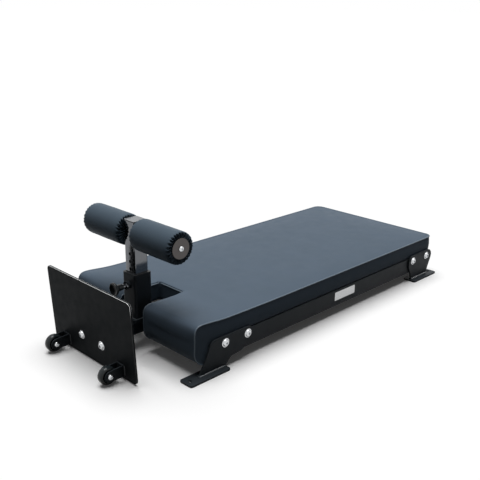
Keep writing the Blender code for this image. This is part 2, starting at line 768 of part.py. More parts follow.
def add_post():
    height = post_top - post_bottom
    post = piece(
        "roller_post",
        prism(tube_outlines(POST_SIZE, POST_SIZE, POST_WALL, POST_CORNER, 3), height),
        (POST_CENTRE, 0, post_bottom + height / 2),
        CHROME,
        bench,
    )
    for step in range(HOLE_COUNT):
        hole = cylinder(PIN_DIAMETER + 2 * GAP, 4 * POST_WALL, "X")
        combine(post, hole, (post_face, 0, PIN_HEIGHT + step * HOLE_PITCH))
    axle_way = cylinder(core_bore, 2 * POST_SIZE, "Y", MEDIUM_ROUND_STEPS)
    combine(post, axle_way, (POST_CENTRE, 0, roller_height))

    cap = piece(
        "post_cap",
        prism([rectangle(POST_SIZE, POST_SIZE, POST_CORNER, 3)], POST_CAP_THICKNESS),
        (POST_CENTRE, 0, post_top + GAP + POST_CAP_THICKNESS / 2),
        BLACK_PLASTIC,
        bench,
    )
    rim = cap.modifiers.new("rim", "BEVEL")
    rim.width = POST_CAP_THICKNESS / 3
    rim.segments = 1
    plug_width = POST_SIZE - 2 * (POST_WALL + GAP)
    plug_length = POST_PLUG_LENGTH + POST_CAP_THICKNESS / 2
    plug_z = post_top + GAP + POST_CAP_THICKNESS / 2 - plug_length / 2
    plug = rectangle(plug_width, plug_width, POST_CORNER / 2, 1)
    combine(cap, prism([plug], plug_length), (POST_CENTRE, 0, plug_z), "UNION")


def add_pull_pin():
    stem, tip = STEM_DIAMETER / 2, PIN_DIAMETER / 2
    collar, barrel = COLLAR_DIAMETER / 2, BARREL_DIAMETER / 2
    chamber = barrel - BARREL_WALL
    collar_rear = collar_front - COLLAR_THICKNESS
    chamber_rear = barrel_rear + BARREL_END_WALL
    axis = (post_face, 0, PIN_HEIGHT)

    barrel_profile = [
        (tip + GAP, barrel_front),
        (barrel, barrel_front),
        (barrel, barrel_rear),
        (stem + GAP, barrel_rear),
        (stem + GAP, chamber_rear),
        (chamber, chamber_rear),
        (chamber, barrel_shoulder),
        (tip + GAP, barrel_shoulder),
    ]
    housing = piece("pin_housing", turned(barrel_profile, "X", closed=True), axis, CHROME, bench)
    locknut = prism(
        [hexagon(LOCKNUT_FLATS), circle(BARREL_DIAMETER - BARREL_WALL)], LOCKNUT_THICKNESS, "X"
    )
    locknut_x = post_face + (locknut_front + locknut_rear) / 2
    combine(housing, locknut, (locknut_x, 0, PIN_HEIGHT), "UNION")

    pin_profile = [
        (0, -PIN_TIP_CLEARANCE),
        (tip - PIN_CHAMFER, -PIN_TIP_CLEARANCE),
        (tip, -PIN_TIP_CLEARANCE - PIN_CHAMFER),
        (tip, collar_front),
        (collar, collar_front),
        (collar, collar_rear),
        (stem, collar_rear),
        (stem, stem_rear + GAP),
        (0, stem_rear + GAP),
    ]
    piece("pull_pin", turned(pin_profile, "X"), axis, CHROME, bench)

    neck, rim = KNOB_NECK_DIAMETER / 2, KNOB_DIAMETER / 2
    flare_start = knob_rear + KNOB_RIM
    knob_profile = [
        (0, stem_rear),
        (stem + GAP, stem_rear),
        (stem + GAP, knob_floor),
        (barrel + GAP, knob_floor),
        (barrel + GAP, knob_front),
        (neck, knob_front),
        (neck, (knob_front + flare_start) / 2),
        (neck + 0.15 * (rim - neck), flare_start + 0.22 * KNOB_LENGTH),
        (neck + 0.50 * (rim - neck), flare_start + 0.06 * KNOB_LENGTH),
        (rim, flare_start),
        (rim, knob_rear + 0.25 * KNOB_RIM),
        (rim - 0.25 * KNOB_RIM, knob_rear),
        (0, knob_rear),
    ]
    piece("pull_knob", turned(knob_profile, "X", MEDIUM_ROUND_STEPS), axis, BLACK_PLASTIC, bench)

    wire = SPRING_WIRE / 2
    coil_radius = (stem + chamber) / 2
    coil_rear = chamber_rear + GAP + wire
    coil_length = collar_rear - GAP - wire - coil_rear
    points_per_turn = 8
    curve = bpy.data.curves.new("pin_spring", "CURVE")
    curve.dimensions = "3D"
    curve.bevel_depth = wire
    curve.bevel_resolution = 0
    curve.use_fill_caps = True
    spline = curve.splines.new("POLY")
    last = SPRING_TURNS * points_per_turn
    spline.points.add(last)
    for index, point in enumerate(spline.points):
        angle = 2 * math.pi * index / points_per_turn
        along = coil_rear + coil_length * index / last
        point.co = (along, coil_radius * math.cos(angle), coil_radius * math.sin(angle), 1)
    drawn = bpy.data.objects.new("pin_spring", curve)
    bpy.context.scene.collection.objects.link(drawn)
    piece("pin_spring", welded(evaluated_mesh(drawn)), axis, SPRING_STEEL, bench)


def roller_profile():
    """From the bore's outer end, over the rim and crown, to the bore's inner end."""
    bore = core_diameter / 2 + GAP
    half = ROLLER_LENGTH / 2
    dish = DISC_THICKNESS + GAP
    rim_radius = ROLLER_DIAMETER / 2 - ROLLER_TAPER
    arc = [
        (
            rim_radius - ROLLER_RIM * (1 - math.sin(math.radians(angle))),
            half - ROLLER_RIM * (1 - math.cos(math.radians(angle))),
        )
        for angle in (0, 45, 90)
    ]
    upper = [
        (bore, half - dish),
        (DISC_DIAMETER / 2 + DISC_MARGIN, half - dish),
        *arc,
        (ROLLER_DIAMETER / 2 - 0.3 * ROLLER_TAPER, half / 2),
    ]
    lower = [(radius, -height) for radius, height in reversed(upper)]
    return upper + [(ROLLER_DIAMETER / 2, 0)] + lower


def add_rollers():
    axle, tapped = ROLLER_AXLE_DIAMETER / 2, END_BOLT_DIAMETER / 2 + GAP
    tapped_end = core_outer - END_BOLT_BITE - 2 * GAP
    end = [(0, tapped_end), (tapped, tapped_end), (tapped, core_outer), (axle, core_outer)]
    axle_profile = end + [(radius, -height) for radius, height in reversed(end)]
    piece(
        "roller_axle",
        turned(axle_profile, "Y", MEDIUM_ROUND_STEPS),
        (POST_CENTRE, 0, roller_height),
        CHROME,
        bench,
    )
    core_half = (core_outer - core_inner) / 2
    core = turned(
        [
            (core_bore / 2, core_half),
            (core_diameter / 2, core_half),
            (core_diameter / 2, -core_half),
            (core_bore / 2, -core_half),
        ],
        "Y",
        MEDIUM_ROUND_STEPS,
        closed=True,
    )
    foam = turned(roller_profile(), "Y", LARGE_ROUND_STEPS, closed=True)
    disc, bore, half = DISC_DIAMETER / 2, END_BOLT_DIAMETER / 2 + GAP, DISC_THICKNESS / 2
    disc_side = [(bore, half), (disc - DISC_BEVEL, half), (disc, half - DISC_BEVEL)]
    disc_profile = disc_side + [(radius, -height) for radius, height in reversed(disc_side)]
    end_disc = turned(disc_profile, "Y", MEDIUM_ROUND_STEPS, closed=True)
    bolt = button_bolt_mesh(END_BOLT_DIAMETER, DISC_THICKNESS + GAP + END_BOLT_BITE)
    for side in (1, -1):
        name = side_name(side)
        core_y = side * (core_inner + core_outer) / 2
        piece(f"roller_core_{name}", core, (POST_CENTRE, core_y, roller_height), CORE_PLASTIC, bench)
        foam_y = side * (roller_inner + roller_outer) / 2
        piece(f"foam_roller_{name}", foam, (POST_CENTRE, foam_y, roller_height), DARK_VINYL, bench)
        disc_y = side * (disc_inner + DISC_THICKNESS / 2)
        piece(f"end_disc_{name}", end_disc, (POST_CENTRE, disc_y, roller_height), DISC_METAL, bench)
        seat = (POST_CENTRE, side * (roller_outer + GAP), roller_height)
        piece(f"end_bolt_{name}", bolt, seat, ZINC, bench, outward(side))


def board_outline(grow):
    """The board's plan view, notched for the post, with its edges moved out by grow."""
    front, rear = rail_front - grow, pad_rear - BOARD_INSET + grow
    half, notch = half_width - BOARD_INSET + grow, NOTCH_WIDTH / 2 + BOARD_INSET - grow
    notch_end = notch_rear + BOARD_INSET - grow
    corner = PAD_REAR_CORNER - BOARD_INSET + grow
    return rounded(
        [
            (front, notch, 0),
            (notch_end, notch, 0),
            (notch_end, -notch, 0),
            (front, -notch, 0),
            (front, -half, 0),
            (rear, -half, corner),
            (rear, half, corner),
            (front, half, 0),
        ]
    )


def pad_block():
    """The pad's side view across its whole width, with the notch cut out of its front."""
    nose_rear = PAD_FRONT + NOSE_LENGTH
    side_view = rounded(
        [
            (PAD_FRONT, NOSE_BOTTOM, NOSE_BOTTOM_RADIUS),
            (nose_rear, NOSE_BOTTOM, 0),
            (nose_rear, pad_bottom, 0),
            (pad_rear, pad_bottom, 0),
            (pad_rear, pad_edge_top, 0),
            (PAD_FRONT, pad_edge_top, NOSE_TOP_RADIUS),
        ],
        7,
    )
    block = prism([side_view], PAD_WIDTH, "Y")
    notch = box(2 * NOTCH_DEPTH, NOTCH_WIDTH, 4 * pad_edge_top)
    return carved(block, notch, (PAD_FRONT, 0, 0))


def shape_pad(work):
    """Rounds the pad's edges, raises its crown and draws in its sides."""
    bmesh.ops.dissolve_limit(
        work, angle_limit=math.radians(1), verts=work.verts, edges=work.edges
    )
    rear_corners = [
        edge
        for edge in work.edges
        if all(v.co.x > pad_rear - MM and abs(v.co.y) > half_width - MM for v in edge.verts)
        and abs(edge.verts[0].co.z - edge.verts[1].co.z) > PAD_THICKNESS / 2
    ]
    bmesh.ops.bevel(
        work, geom=rear_corners, offset=PAD_REAR_CORNER, segments=5, profile=0.5, affect="EDGES"
    )
    bulge_z = pad_bottom + PAD_THICKNESS / 2
    cuts = [(Vector((0, 0, bulge_z)), Vector((0, 0, 1)))]
    for share in (-0.8, -0.5, 0.0, 0.5, 0.8):
        cuts.append((Vector((0, share * half_width, 0)), Vector((0, 1, 0))))
    strips = 8
    for index in range(strips):
        x = notch_rear + NOTCH_WIDTH / 2 + index * (pad_rear - PAD_REAR_CORNER - notch_rear) / strips
        cuts.append((Vector((x, 0, 0)), Vector((1, 0, 0))))
    for place, normal in cuts:
        everything = [*work.verts, *work.edges, *work.faces]
        bmesh.ops.bisect_plane(work, geom=everything, plane_co=place, plane_no=normal, dist=1e-6)
    for vert in work.verts:
        x, y, z = vert.co
        if z > pad_edge_top - MM:
            ends = min(x - PAD_FRONT, pad_rear - x) / (2 * NOSE_TOP_RADIUS)
            vert.co.z += PAD_CROWN * min(1, ends) * (1 - (y / half_width) ** 2)
        draw = PAD_SIDE_DRAW * min(1, abs(z - bulge_z) / (PAD_THICKNESS / 2)) ** 2
        if abs(y) > half_width - PAD_REAR_CORNER - MM:
            vert.co.y *= 1 - draw / half_width
        if x > pad_rear - PAD_REAR_CORNER + MM:
            vert.co.x -= draw
    nose_rear = PAD_FRONT + NOSE_LENGTH

    def under(vert):
        return vert.co.x > nose_rear - MM and vert.co.z < pad_bottom + MM

    rims = [
        edge
        for edge in work.edges
        if edge.calc_face_angle_signed(0) > math.radians(40)
        and not all(under(vert) for vert in edge.verts)
    ]
    bmesh.ops.bevel(
        work, geom=rims, offset=PAD_EDGE_RADIUS, segments=3, profile=0.5, affect="EDGES"
    )


def add_pad():
    mesh = edited(pad_block(), shape_pad)
    pad = piece("pad", mesh, (0, 0, 0), SLATE_VINYL, bench)
    recess_height = 2 * (BOARD_THICKNESS + GAP)
    combine(pad, prism([board_outline(GAP)], recess_height), (0, 0, pad_bottom))
    board = piece(
        "pad_board",
        prism([board_outline(0)], BOARD_THICKNESS),
        (0, 0, pad_bottom + BOARD_THICKNESS / 2),
        PLYWOOD,
        bench,
    )
    cross_bottom = rail_top - CROSS_SIZE
    seat_z = cross_bottom - GAP
    length = pad_bottom + SCREW_BITE - seat_z
    shank, head = SCREW_DIAMETER / 2, SCREW_HEAD / 2
    screw = turned(
        [
            (0, length),
            (shank, length),
            (shank, 0),
            (head, 0),
            (0.8 * head, -SCREW_HEAD_HEIGHT),
            (0, -SCREW_HEAD_HEIGHT),
        ],
    )
    names = [(x, y) for x in ("middle", "rear") for y in ("left", "right")]
    places = [(x, side * SCREW_OUTREACH) for x in screw_crosses for side in (1, -1)]
    for (row, name), (x, y) in zip(names, places):
        hole = cylinder(SCREW_DIAMETER + 2 * GAP, 2 * (SCREW_BITE + GAP))
        combine(board, hole, (x, y, pad_bottom))
        piece(f"pad_screw_{row}_{name}", screw, (x, y, seat_z), ZINC, bench)


def front_bracket_outline():
    """The raked side view, whose lower edge runs back along the rail's underside."""
    foot = FRONT_BRACKET_BOLT - BRACKET_FOOT_SETBACK
    tip = FRONT_BRACKET_BOLT + BRACKET_BOLT_SPACING + BRACKET_LOBE
    seat = BASE_THICKNESS / 2
    outer = foot - BRACKET_FOOT_LENGTH
    bend = 0.55 * FRONT_RAKE
    bend_z = BASE_THICKNESS + 0.455 * (bracket_top - BASE_THICKNESS)
    return rounded(
        [
            (outer, seat, 0),
            (foot, seat, 0),
            (foot + BRACKET_LOBE, RAIL_BOTTOM - FRONT_HEEL_DROP, FRONT_HEEL_RADIUS),
            (tip - 2.1 * BRACKET_LOBE, RAIL_BOTTOM, FRONT_TOE_RADIUS),
            (tip, RAIL_BOTTOM + BRACKET_LOBE, BRACKET_TIP_RADIUS),
            (tip, bracket_top, BRACKET_TIP_RADIUS),
            (outer + FRONT_RAKE, bracket_top, BRACKET_LOBE),
            (outer + bend, bend_z, FRONT_BEND_RADIUS),
        ]
    )


def rear_bracket_outline():
    """The upright side view, leaning out to the rear."""
    foot = rear_bracket_bolt - BRACKET_FOOT_SETBACK
    inner = rear_bracket_bolt - BRACKET_LOBE
    seat = BASE_THICKNESS / 2
    outer = foot + BRACKET_FOOT_LENGTH
    return rounded(
        [
            (foot, seat, 0),
            (outer, seat, 0),
            (outer + REAR_RAKE, bracket_top, BRACKET_LOBE),
            (inner, bracket_top, BRACKET_TIP_RADIUS),
            (inner, RAIL_BOTTOM + BRACKET_LOBE, BRACKET_TIP_RADIUS),
            (foot - REAR_HEEL_SETBACK, RAIL_BOTTOM - REAR_HEEL_DROP, REAR_HEEL_RADIUS),
        ]
    )


def add_brackets():
    hole = BOLT_DIAMETER + BOLT_HOLE_SLACK
    front_base_end = FRONT_BRACKET_BOLT - BRACKET_FOOT_SETBACK + FRONT_BASE_OVERHANG
    front_base = front_base_end - BASE_LENGTH / 2
    rear_base = rear_base_end - BASE_LENGTH / 2
    hole_offset = BASE_LENGTH / 2 - BASE_HOLE_INSET
    kinds = (
        ("front", front_bracket_outline(), bracket_bolts[:2], front_base, -hole_offset),
        ("rear", rear_bracket_outline(), bracket_bolts[2:], rear_base, hole_offset),
    )
    bolt = collar_bolt_mesh(BRACKET_GAUGE + 2 * GAP + RAIL_WALL + WELD_NUT_LENGTH)
    for end, outline, bolts, base_x, hole_x in kinds:
        holes = [circle(hole, (x, bracket_bolt_z)) for x in bolts]
        for side in (1, -1):
            name = f"{end}_{side_name(side)}"
            y = side * bracket_centre_y
            bracket = piece(
                f"foot_bracket_{name}",
                prism([outline, *holes], BRACKET_GAUGE, "Y"),
                (0, y, 0),
                BLACK_PAINT,
                bench,
            )
            base = [
                rectangle(BASE_LENGTH, BASE_WIDTH, BASE_CORNER),
                circle(BASE_HOLE_DIAMETER, (hole_x, 0)),
            ]
            place = (base_x, y, BASE_THICKNESS / 2)
            combine(bracket, prism(base, BASE_THICKNESS), place, "UNION")
            for position, x in zip(("fore", "aft"), bolts):
                seat = (x, side * (half_width + 2 * GAP + BRACKET_GAUGE), bracket_bolt_z)
                piece(f"bracket_bolt_{name}_{position}", bolt, seat, ZINC, bench, outward(side))


def add_nameplate():
    outline = rectangle(NAMEPLATE_LENGTH, NAMEPLATE_HEIGHT, NAMEPLATE_CORNER, 3)
    nameplate_y = -(half_width + GAP + NAMEPLATE_THICKNESS / 2)
    piece(
        "nameplate",
        prism([outline], NAMEPLATE_THICKNESS, "Y"),
        (NAMEPLATE_CENTRE, nameplate_y, RAIL_BOTTOM + NAMEPLATE_RISE),
        BARE_SILVER,
        bench,
    )


post_face = POST_CENTRE - POST_SIZE / 2
front_end = wheel_axle_x - WHEEL_DIAMETER / 2
rear_end = max(pad_rear, rear_base_end)
bench = empty("bench", (-(front_end + rear_end) / 2, 0, 0))
plate_frame = empty("foot_plate_frame", (0, 0, PLATE_FLOOR_GAP), bench, (0, -PLATE_LEAN, 0))

add_rails()
add_cross_members()
add_centre_beam()
add_foot_plate()
add_wheels()
add_sleeve()
add_post()
add_pull_pin()
add_rollers()
add_pad()
add_brackets()
add_nameplate()
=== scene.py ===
"""Looks of the hip thrust bench: its upholstery, fasteners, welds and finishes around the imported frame.

Metres, +Z up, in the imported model's own frame. +X runs from the foot plate to the rear of the pad.
"""

import json
import math
import random

import bmesh
import bpy
from mathutils import Matrix, Vector, noise
from mathutils.kdtree import KDTree


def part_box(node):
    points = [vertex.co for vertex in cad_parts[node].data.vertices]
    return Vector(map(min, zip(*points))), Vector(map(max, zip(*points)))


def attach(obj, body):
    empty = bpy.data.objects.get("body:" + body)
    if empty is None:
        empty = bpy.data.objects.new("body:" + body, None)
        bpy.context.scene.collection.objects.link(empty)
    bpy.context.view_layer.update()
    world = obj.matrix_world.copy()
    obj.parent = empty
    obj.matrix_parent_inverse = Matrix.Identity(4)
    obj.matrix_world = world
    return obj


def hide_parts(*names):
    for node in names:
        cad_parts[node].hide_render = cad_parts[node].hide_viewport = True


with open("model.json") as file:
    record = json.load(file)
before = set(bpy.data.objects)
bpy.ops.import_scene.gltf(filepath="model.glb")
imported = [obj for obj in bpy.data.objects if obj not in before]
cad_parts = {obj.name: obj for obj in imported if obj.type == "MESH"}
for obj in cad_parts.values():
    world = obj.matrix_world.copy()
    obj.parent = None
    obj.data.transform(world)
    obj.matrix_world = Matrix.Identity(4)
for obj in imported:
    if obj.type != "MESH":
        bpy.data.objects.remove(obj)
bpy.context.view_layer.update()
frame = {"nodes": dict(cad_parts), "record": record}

MM = 0.001
nodes = frame["nodes"]
scene = bpy.context.scene

# The photograph's view
CAMERA_PLACE = (-1.76695, -1.7053, 1.0639)
CAMERA_AZIMUTH = math.radians(-45.16)
CAMERA_ELEVATION = math.radians(18.636)
CAMERA_ROLL = math.radians(0.664)
CAMERA_LENS = 53.877
SENSOR_WIDTH = 36.0
NEAREST_SEEN = 0.05

# Light: one wide soft overhead lamp, a dim room, and how bright the floor is to the eye and to the bench
LAMP_POWER = 3.2
LAMP_SPREAD = math.radians(50)
LAMP_TILT = (math.radians(-10), math.radians(7), 0)
ROOM_LEVEL = 0.04
FLOOR_HALF = 60
FLOOR_SEEN = 0.95
FLOOR_BOUNCE = 0.04
FLOOR_GLOW = 0.03

# Meshes: points this close are one point, and faces that meet more sharply than this show an edge
SAME_PLACE = 1e-6
SHARP_ANGLE = math.radians(30)

# Foot plate: how far it leans, and the heights between which the paint on its cut edge gives way to
# near-white bare steel: rubbed off, and drawn that bright as a painted highlight along the top edge
PLATE_LEAN = math.radians(3.3)
WEAR_AND_HIGHLIGHT_START = 216 * MM
WEAR_AND_HIGHLIGHT_END = 246 * MM

# Steel pieces whose cut edges are eased, and by how much
STEEL_EDGES = {
    "foot_plate": 1.6 * MM,
    "wheel_fork_left": 0.9 * MM,
    "wheel_fork_right": 0.9 * MM,
    "foot_bracket_front_left": 0.9 * MM,
    "foot_bracket_front_right": 0.9 * MM,
    "foot_bracket_rear_left": 0.9 * MM,
    "foot_bracket_rear_right": 0.9 * MM,
    "beam_flange": 0.9 * MM,
}
EASED_MERGE = 0.01 * MM
EASED_STEPS = 2
EASED_ANGLE = math.radians(50)

# Pad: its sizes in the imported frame
PAD_EDGE_TOP = 155.3 * MM
PAD_MIDDLE_HEIGHT = 124.8 * MM
PAD_BOTTOM = 94.3 * MM
HALF_WIDTH = 300 * MM
SIDE_DRAW = 1.5 * MM
REAR_CORNER = 32 * MM
REAR_CORNER_STEPS = 12
NOSE_LENGTH = 58 * MM
NOSE_TOP_RADIUS = 31 * MM
NOSE_BOTTOM_RADIUS = 45 * MM
NOSE_STEPS = 18
NOSE_FULLNESS = 2.7
NOTCH_HALF = 60 * MM
NOTCH_DEPTH = 164 * MM

# Pad: how firmly its cover is held near a seam, on the board underneath and in the notch
SEAM_HOLD = 5 * MM
SEAM_HOLD_FADE = 16 * MM
BOARD_HOLD_HEIGHT = 17 * MM
BOARD_HOLD_FRONT = NOSE_LENGTH - 8 * MM
NOTCH_HOLD = 0.9
NOTCH_HOLD_MARGIN = 2 * MM

# Pad: the cover as a light cloth over pressing foam
COVER_MESH = 5.2 * MM
CLOTH_FRAMES = 20
CLOTH = {
    "quality": 4,
    "mass": 0.4,
    "tension_stiffness": 20,
    "compression_stiffness": 20,
    "shear_stiffness": 10,
    "bending_stiffness": 2,
    "use_pressure": True,
    "uniform_pressure_force": 4,
    "vertex_group_mass": "held",
}

# Pad: the furthest that the foam pushes the cover out, on faces that look up, at the sides and low down
FACES_UP = 0.5
TOP_SWELL = 4 * MM
SIDE_SWELL = 2 * MM
LOW_SWELL = 0.4 * MM
LOW_HEIGHT = 112 * MM

# Pad: how its cover is smoothed and drawn to the seams, and the piping laid in them
SMOOTH_ROUNDS = 2
SMOOTH_SHARE = 0.3
SEAM_SPACING = 0.8 * MM
SEAM_REACH = 3.9 * MM
SEAM_MERGE = 0.25 * MM
WELT_RADIUS = 1.9 * MM
WELT_SINK = 0.8 * MM
SEAM_POINTS_A_WELT_POINT = 4

# Pad: how the foam stands up over the front end, by height, distance behind the nose and place across
RISE_START = 4 * MM
CORNER_RISE = 8.5 * MM
CORNER_PLACE = 25 * MM
CORNER_SPREAD = 70 * MM
CORNER_RISE_AT_MIDDLE = 0.35
EDGE_RISE = 2.5 * MM
EDGE_FULL = 80 * MM
EDGE_FADE = 300 * MM
ACROSS_START = 120 * MM
ACROSS_FADE = 170 * MM

# Ankle rollers: the folds of their gathered ends, from the bore outwards and over the rim
PLEATS = 28
PLEAT_STEPS = 8
PLEAT_SHIFT = 0.2
SHALLOWEST_PLEAT = 0.7
PLEAT_LEAN = 1.3
PLEAT_POINT = 1.5
FOLD_DEPTH = 9 * MM
GATHER_FULL = 3 * MM
GATHER_FADE = 8 * MM
INNER_BORE = 17 * MM
OUTER_BORE = 33 * MM
BORE_FADE = 2.5 * MM
RIM_DEPTH = 2.2 * MM
RIM_START = 45.5 * MM
RIM_WIDTH = 4.5 * MM
TWIST_FROM = 50 * MM
TWIST_A_METRE = 5.5
SWAY = 0.04
SWAYS = 3
INNER_SEED = 11
OUTER_SEED = 23
FOLDS_SHARP_ANGLE = math.radians(75)

# Ankle rollers, in millimetres: the barrel of the cover's section
BARREL_STEPS = 12
BARREL_RADIUS = 50.6
BARREL_START = 20
BARREL_LENGTH = 148
BARREL_BULGE = 0.3

# Ankle rollers: the slow waves of the cover, outside one radius
WAVE_RADIUS = 40 * MM
WAVE_LENGTH = 45 * MM
WAVE_SINK = 0.3 * MM
WAVE_DEPTH = 0.4 * MM

# Turned pieces: steps round bolts and round larger pieces, and the ring of points that a socket
# shapes, in half widths over its flats
BOLT_STEPS = 36
LARGE_STEPS = 48
SOCKET_INNER = 0.9
SOCKET_OUTER = 1.2

# Welds, in millimetres: bracket plates on their bases
BRACKET_BASES = ((-524, -420), (613, 717))
BRACKET_FACES = (299.9, 306.7)
BASE_TOP = 6.6
BASE_BEAD = 3

# Welds: forks on the foot plate, from the bead's lower to its upper end
FORK_FACES = (126.2, 159.8)
FORK_LOW = (-682.2, 15)
FORK_HIGH = (-683.7, 48)
FORK_BEAD = 1.8

# Welds: cross members on the rails and on the centre beam
RAIL_CROSSINGS = (-473.2, -433.2, -121.2, -81.2, 703.8)
RAIL_FACE = 269.6
BEAM_CROSSINGS = (-473.2, -433.2)
BEAM_FACE = 30.4
CROSS_LOW = 56
CROSS_HIGH = 92
CROSS_BEAD = 1.8

# Welds: the beam's flange and the post sleeve's foot
FLANGE_FACE = 30.2
FLANGE_LOW = (-670.6, 57)
FLANGE_HIGH = (-672.2, 92)
FLANGE_SIDE_BEAD = 2.2
FLANGE_TOP = (-672.4, 94.4)
FLANGE_TOP_HALF = 28
FLANGE_TOP_BEAD = 2.4
SLEEVE_FRONT = -540
SLEEVE_REAR = -474.4
SLEEVE_FACE = 32.8
SLEEVE_FRONT_HALF = 33
SLEEVE_FOOT = 104.6
SLEEVE_BEAD = 2.2

# Welds: how far apart a bead's ripples lie, and how much they vary its thickness
RIPPLE_SPACING = 1.6
RIPPLE = 0.2

# The range that most values of a cloudy texture lie in
CLOUD_LOW = 0.3
CLOUD_HIGH = 0.7

# The places of the colour mix node's sockets
MIX_FACTOR = 0
MIX_FIRST = 6
MIX_SECOND = 7
MIX_RESULT = 2


def linear(hex_colour):
    """The linear RGBA value of an sRGB hex colour."""
    channels = [int(hex_colour[start : start + 2], 16) / 255 for start in (0, 2, 4)]
    return [c / 12.92 if c <= 0.04045 else ((c + 0.055) / 1.055) ** 2.4 for c in channels] + [1.0]


def add(tree, kind, inputs=None, **settings):
    """One shader node with its settings, and its inputs as values or as other nodes' outputs."""
    made = tree.nodes.new(kind)
    for name, value in settings.items():
        setattr(made, name, value)
    for name, value in (inputs or {}).items():
        if isinstance(value, bpy.types.NodeSocket):
            tree.links.new(value, made.inputs[name])
        else:
            made.inputs[name].default_value = value
    return made


def new_material(name, colour, roughness, sockets=None):
    """A material whose constants sit on its shader, with its tree and Object coordinates."""
    made = bpy.data.materials.new(name)
    made.use_nodes = True
    tree = made.node_tree
    shader = tree.nodes["Principled BSDF"]
    shader.inputs["Base Color"].default_value = linear(colour)
    shader.inputs["Roughness"].default_value = roughness
    for socket, value in (sockets or {}).items():
        shader.inputs[socket].default_value = value
    place = add(tree, "ShaderNodeTexCoord").outputs["Object"]
    return made, tree, shader, place


def mottle(tree, place, size, low, high):
    """Cloudy variation about as large as size, from low to high."""
    cloud = add(tree, "ShaderNodeTexNoise", {"Vector": place, "Scale": 1 / size, "Detail": 3.0})
    spread = {
        "Value": cloud.outputs["Fac"],
        "From Min": CLOUD_LOW,
        "From Max": CLOUD_HIGH,
        "To Min": low,
        "To Max": high,
    }
    return add(tree, "ShaderNodeMapRange", spread).outputs["Result"]


def grained(tree, place, size):
    """The height of a fine uneven surface with features about as large as size."""
    fine = {"Vector": place, "Scale": 1 / size, "Detail": 2.0}
    return add(tree, "ShaderNodeTexNoise", fine).outputs["Fac"]


def between(tree, factor, first, second):
    """A colour between two hex colours."""
    mixed = add(tree, "ShaderNodeMix", data_type="RGBA")
    tree.links.new(factor, mixed.inputs[MIX_FACTOR])
    mixed.inputs[MIX_FIRST].default_value = linear(first)
    mixed.inputs[MIX_SECOND].default_value = linear(second)
    return mixed.outputs[MIX_RESULT]


def dented(tree, shader, height, distance, strength):
    """Bump of a given depth on the shader."""
    sockets = {"Height": height, "Distance": distance, "Strength": strength}
    tree.links.new(add(tree, "ShaderNodeBump", sockets).outputs["Normal"], shader.inputs["Normal"])


def powder_coat(name, light, dark, roughness, peel, gloss_level):
    """Sprayed and baked powder on steel: a soft orange-peel skin with slightly uneven gloss."""
    made, tree, shader, place = new_material(name, light, roughness, {"Specular IOR Level": gloss_level})
    shade = between(tree, mottle(tree, place, size=60 * MM, low=0, high=1), dark, light)
    tree.links.new(shade, shader.inputs["Base Color"])
    gloss = mottle(tree, place, size=25 * MM, low=roughness - 0.06, high=roughness + 0.08)
    tree.links.new(gloss, shader.inputs["Roughness"])
    dented(tree, shader, grained(tree, place, peel), distance=0.12 * MM, strength=0.5)
    return made


def bright_metal(name, colour, roughness, stretch=None):
    """Plated or ground steel. A stretch draws its grain out into the streaks of a grinding wheel."""
    made, tree, shader, place = new_material(name, colour, roughness, {"Metallic": 1.0})
    gloss = mottle(tree, place, size=6 * MM, low=roughness * 0.8, high=roughness * 1.3 + 0.02)
    tree.links.new(gloss, shader.inputs["Roughness"])
    if stretch:
        drawn_out = add(tree, "ShaderNodeMapping", {"Vector": place, "Scale": stretch}, vector_type="POINT")
        streaks = grained(tree, drawn_out.outputs["Vector"], 0.4 * MM)
        dented(tree, shader, streaks, distance=0.05 * MM, strength=0.6)
    return made


def turned_metal(name, colour, roughness, centre, pitch):
    """Steel faced on a lathe: fine rings round an axis along Y."""
    made, tree, shader, place = new_material(name, colour, roughness, {"Metallic": 1.0})
    moved = {"Vector": place, "Location": [-value for value in centre]}
    local = add(tree, "ShaderNodeMapping", moved, vector_type="POINT")
    squash = {0: local.outputs["Vector"], 1: (1, 0, 1)}
    flattened = add(tree, "ShaderNodeVectorMath", squash, operation="MULTIPLY")
    radius = add(tree, "ShaderNodeVectorMath", {0: flattened.outputs["Vector"]}, operation="LENGTH")
    phase = {0: radius.outputs["Value"], 1: 2 * math.pi / pitch}
    turns = add(tree, "ShaderNodeMath", phase, operation="MULTIPLY")
    rings = add(tree, "ShaderNodeMath", {0: turns.outputs["Value"]}, operation="SINE")
    dented(tree, shader, rings.outputs["Value"], distance=0.02 * MM, strength=0.6)
    gloss = mottle(tree, place, size=14 * MM, low=roughness - 0.05, high=roughness + 0.08)
    tree.links.new(gloss, shader.inputs["Roughness"])
    return made


def moulded(name, colour, roughness, grain, depth):
    """Injection moulded plastic or rubber with a fine spark-eroded grain."""
    made, tree, shader, place = new_material(name, colour, roughness, {"Specular IOR Level": 0.25})
    gloss = mottle(tree, place, size=18 * MM, low=roughness - 0.04, high=roughness + 0.06)
    tree.links.new(gloss, shader.inputs["Roughness"])
    dented(tree, shader, grained(tree, place, grain), distance=depth, strength=0.5)
    return made


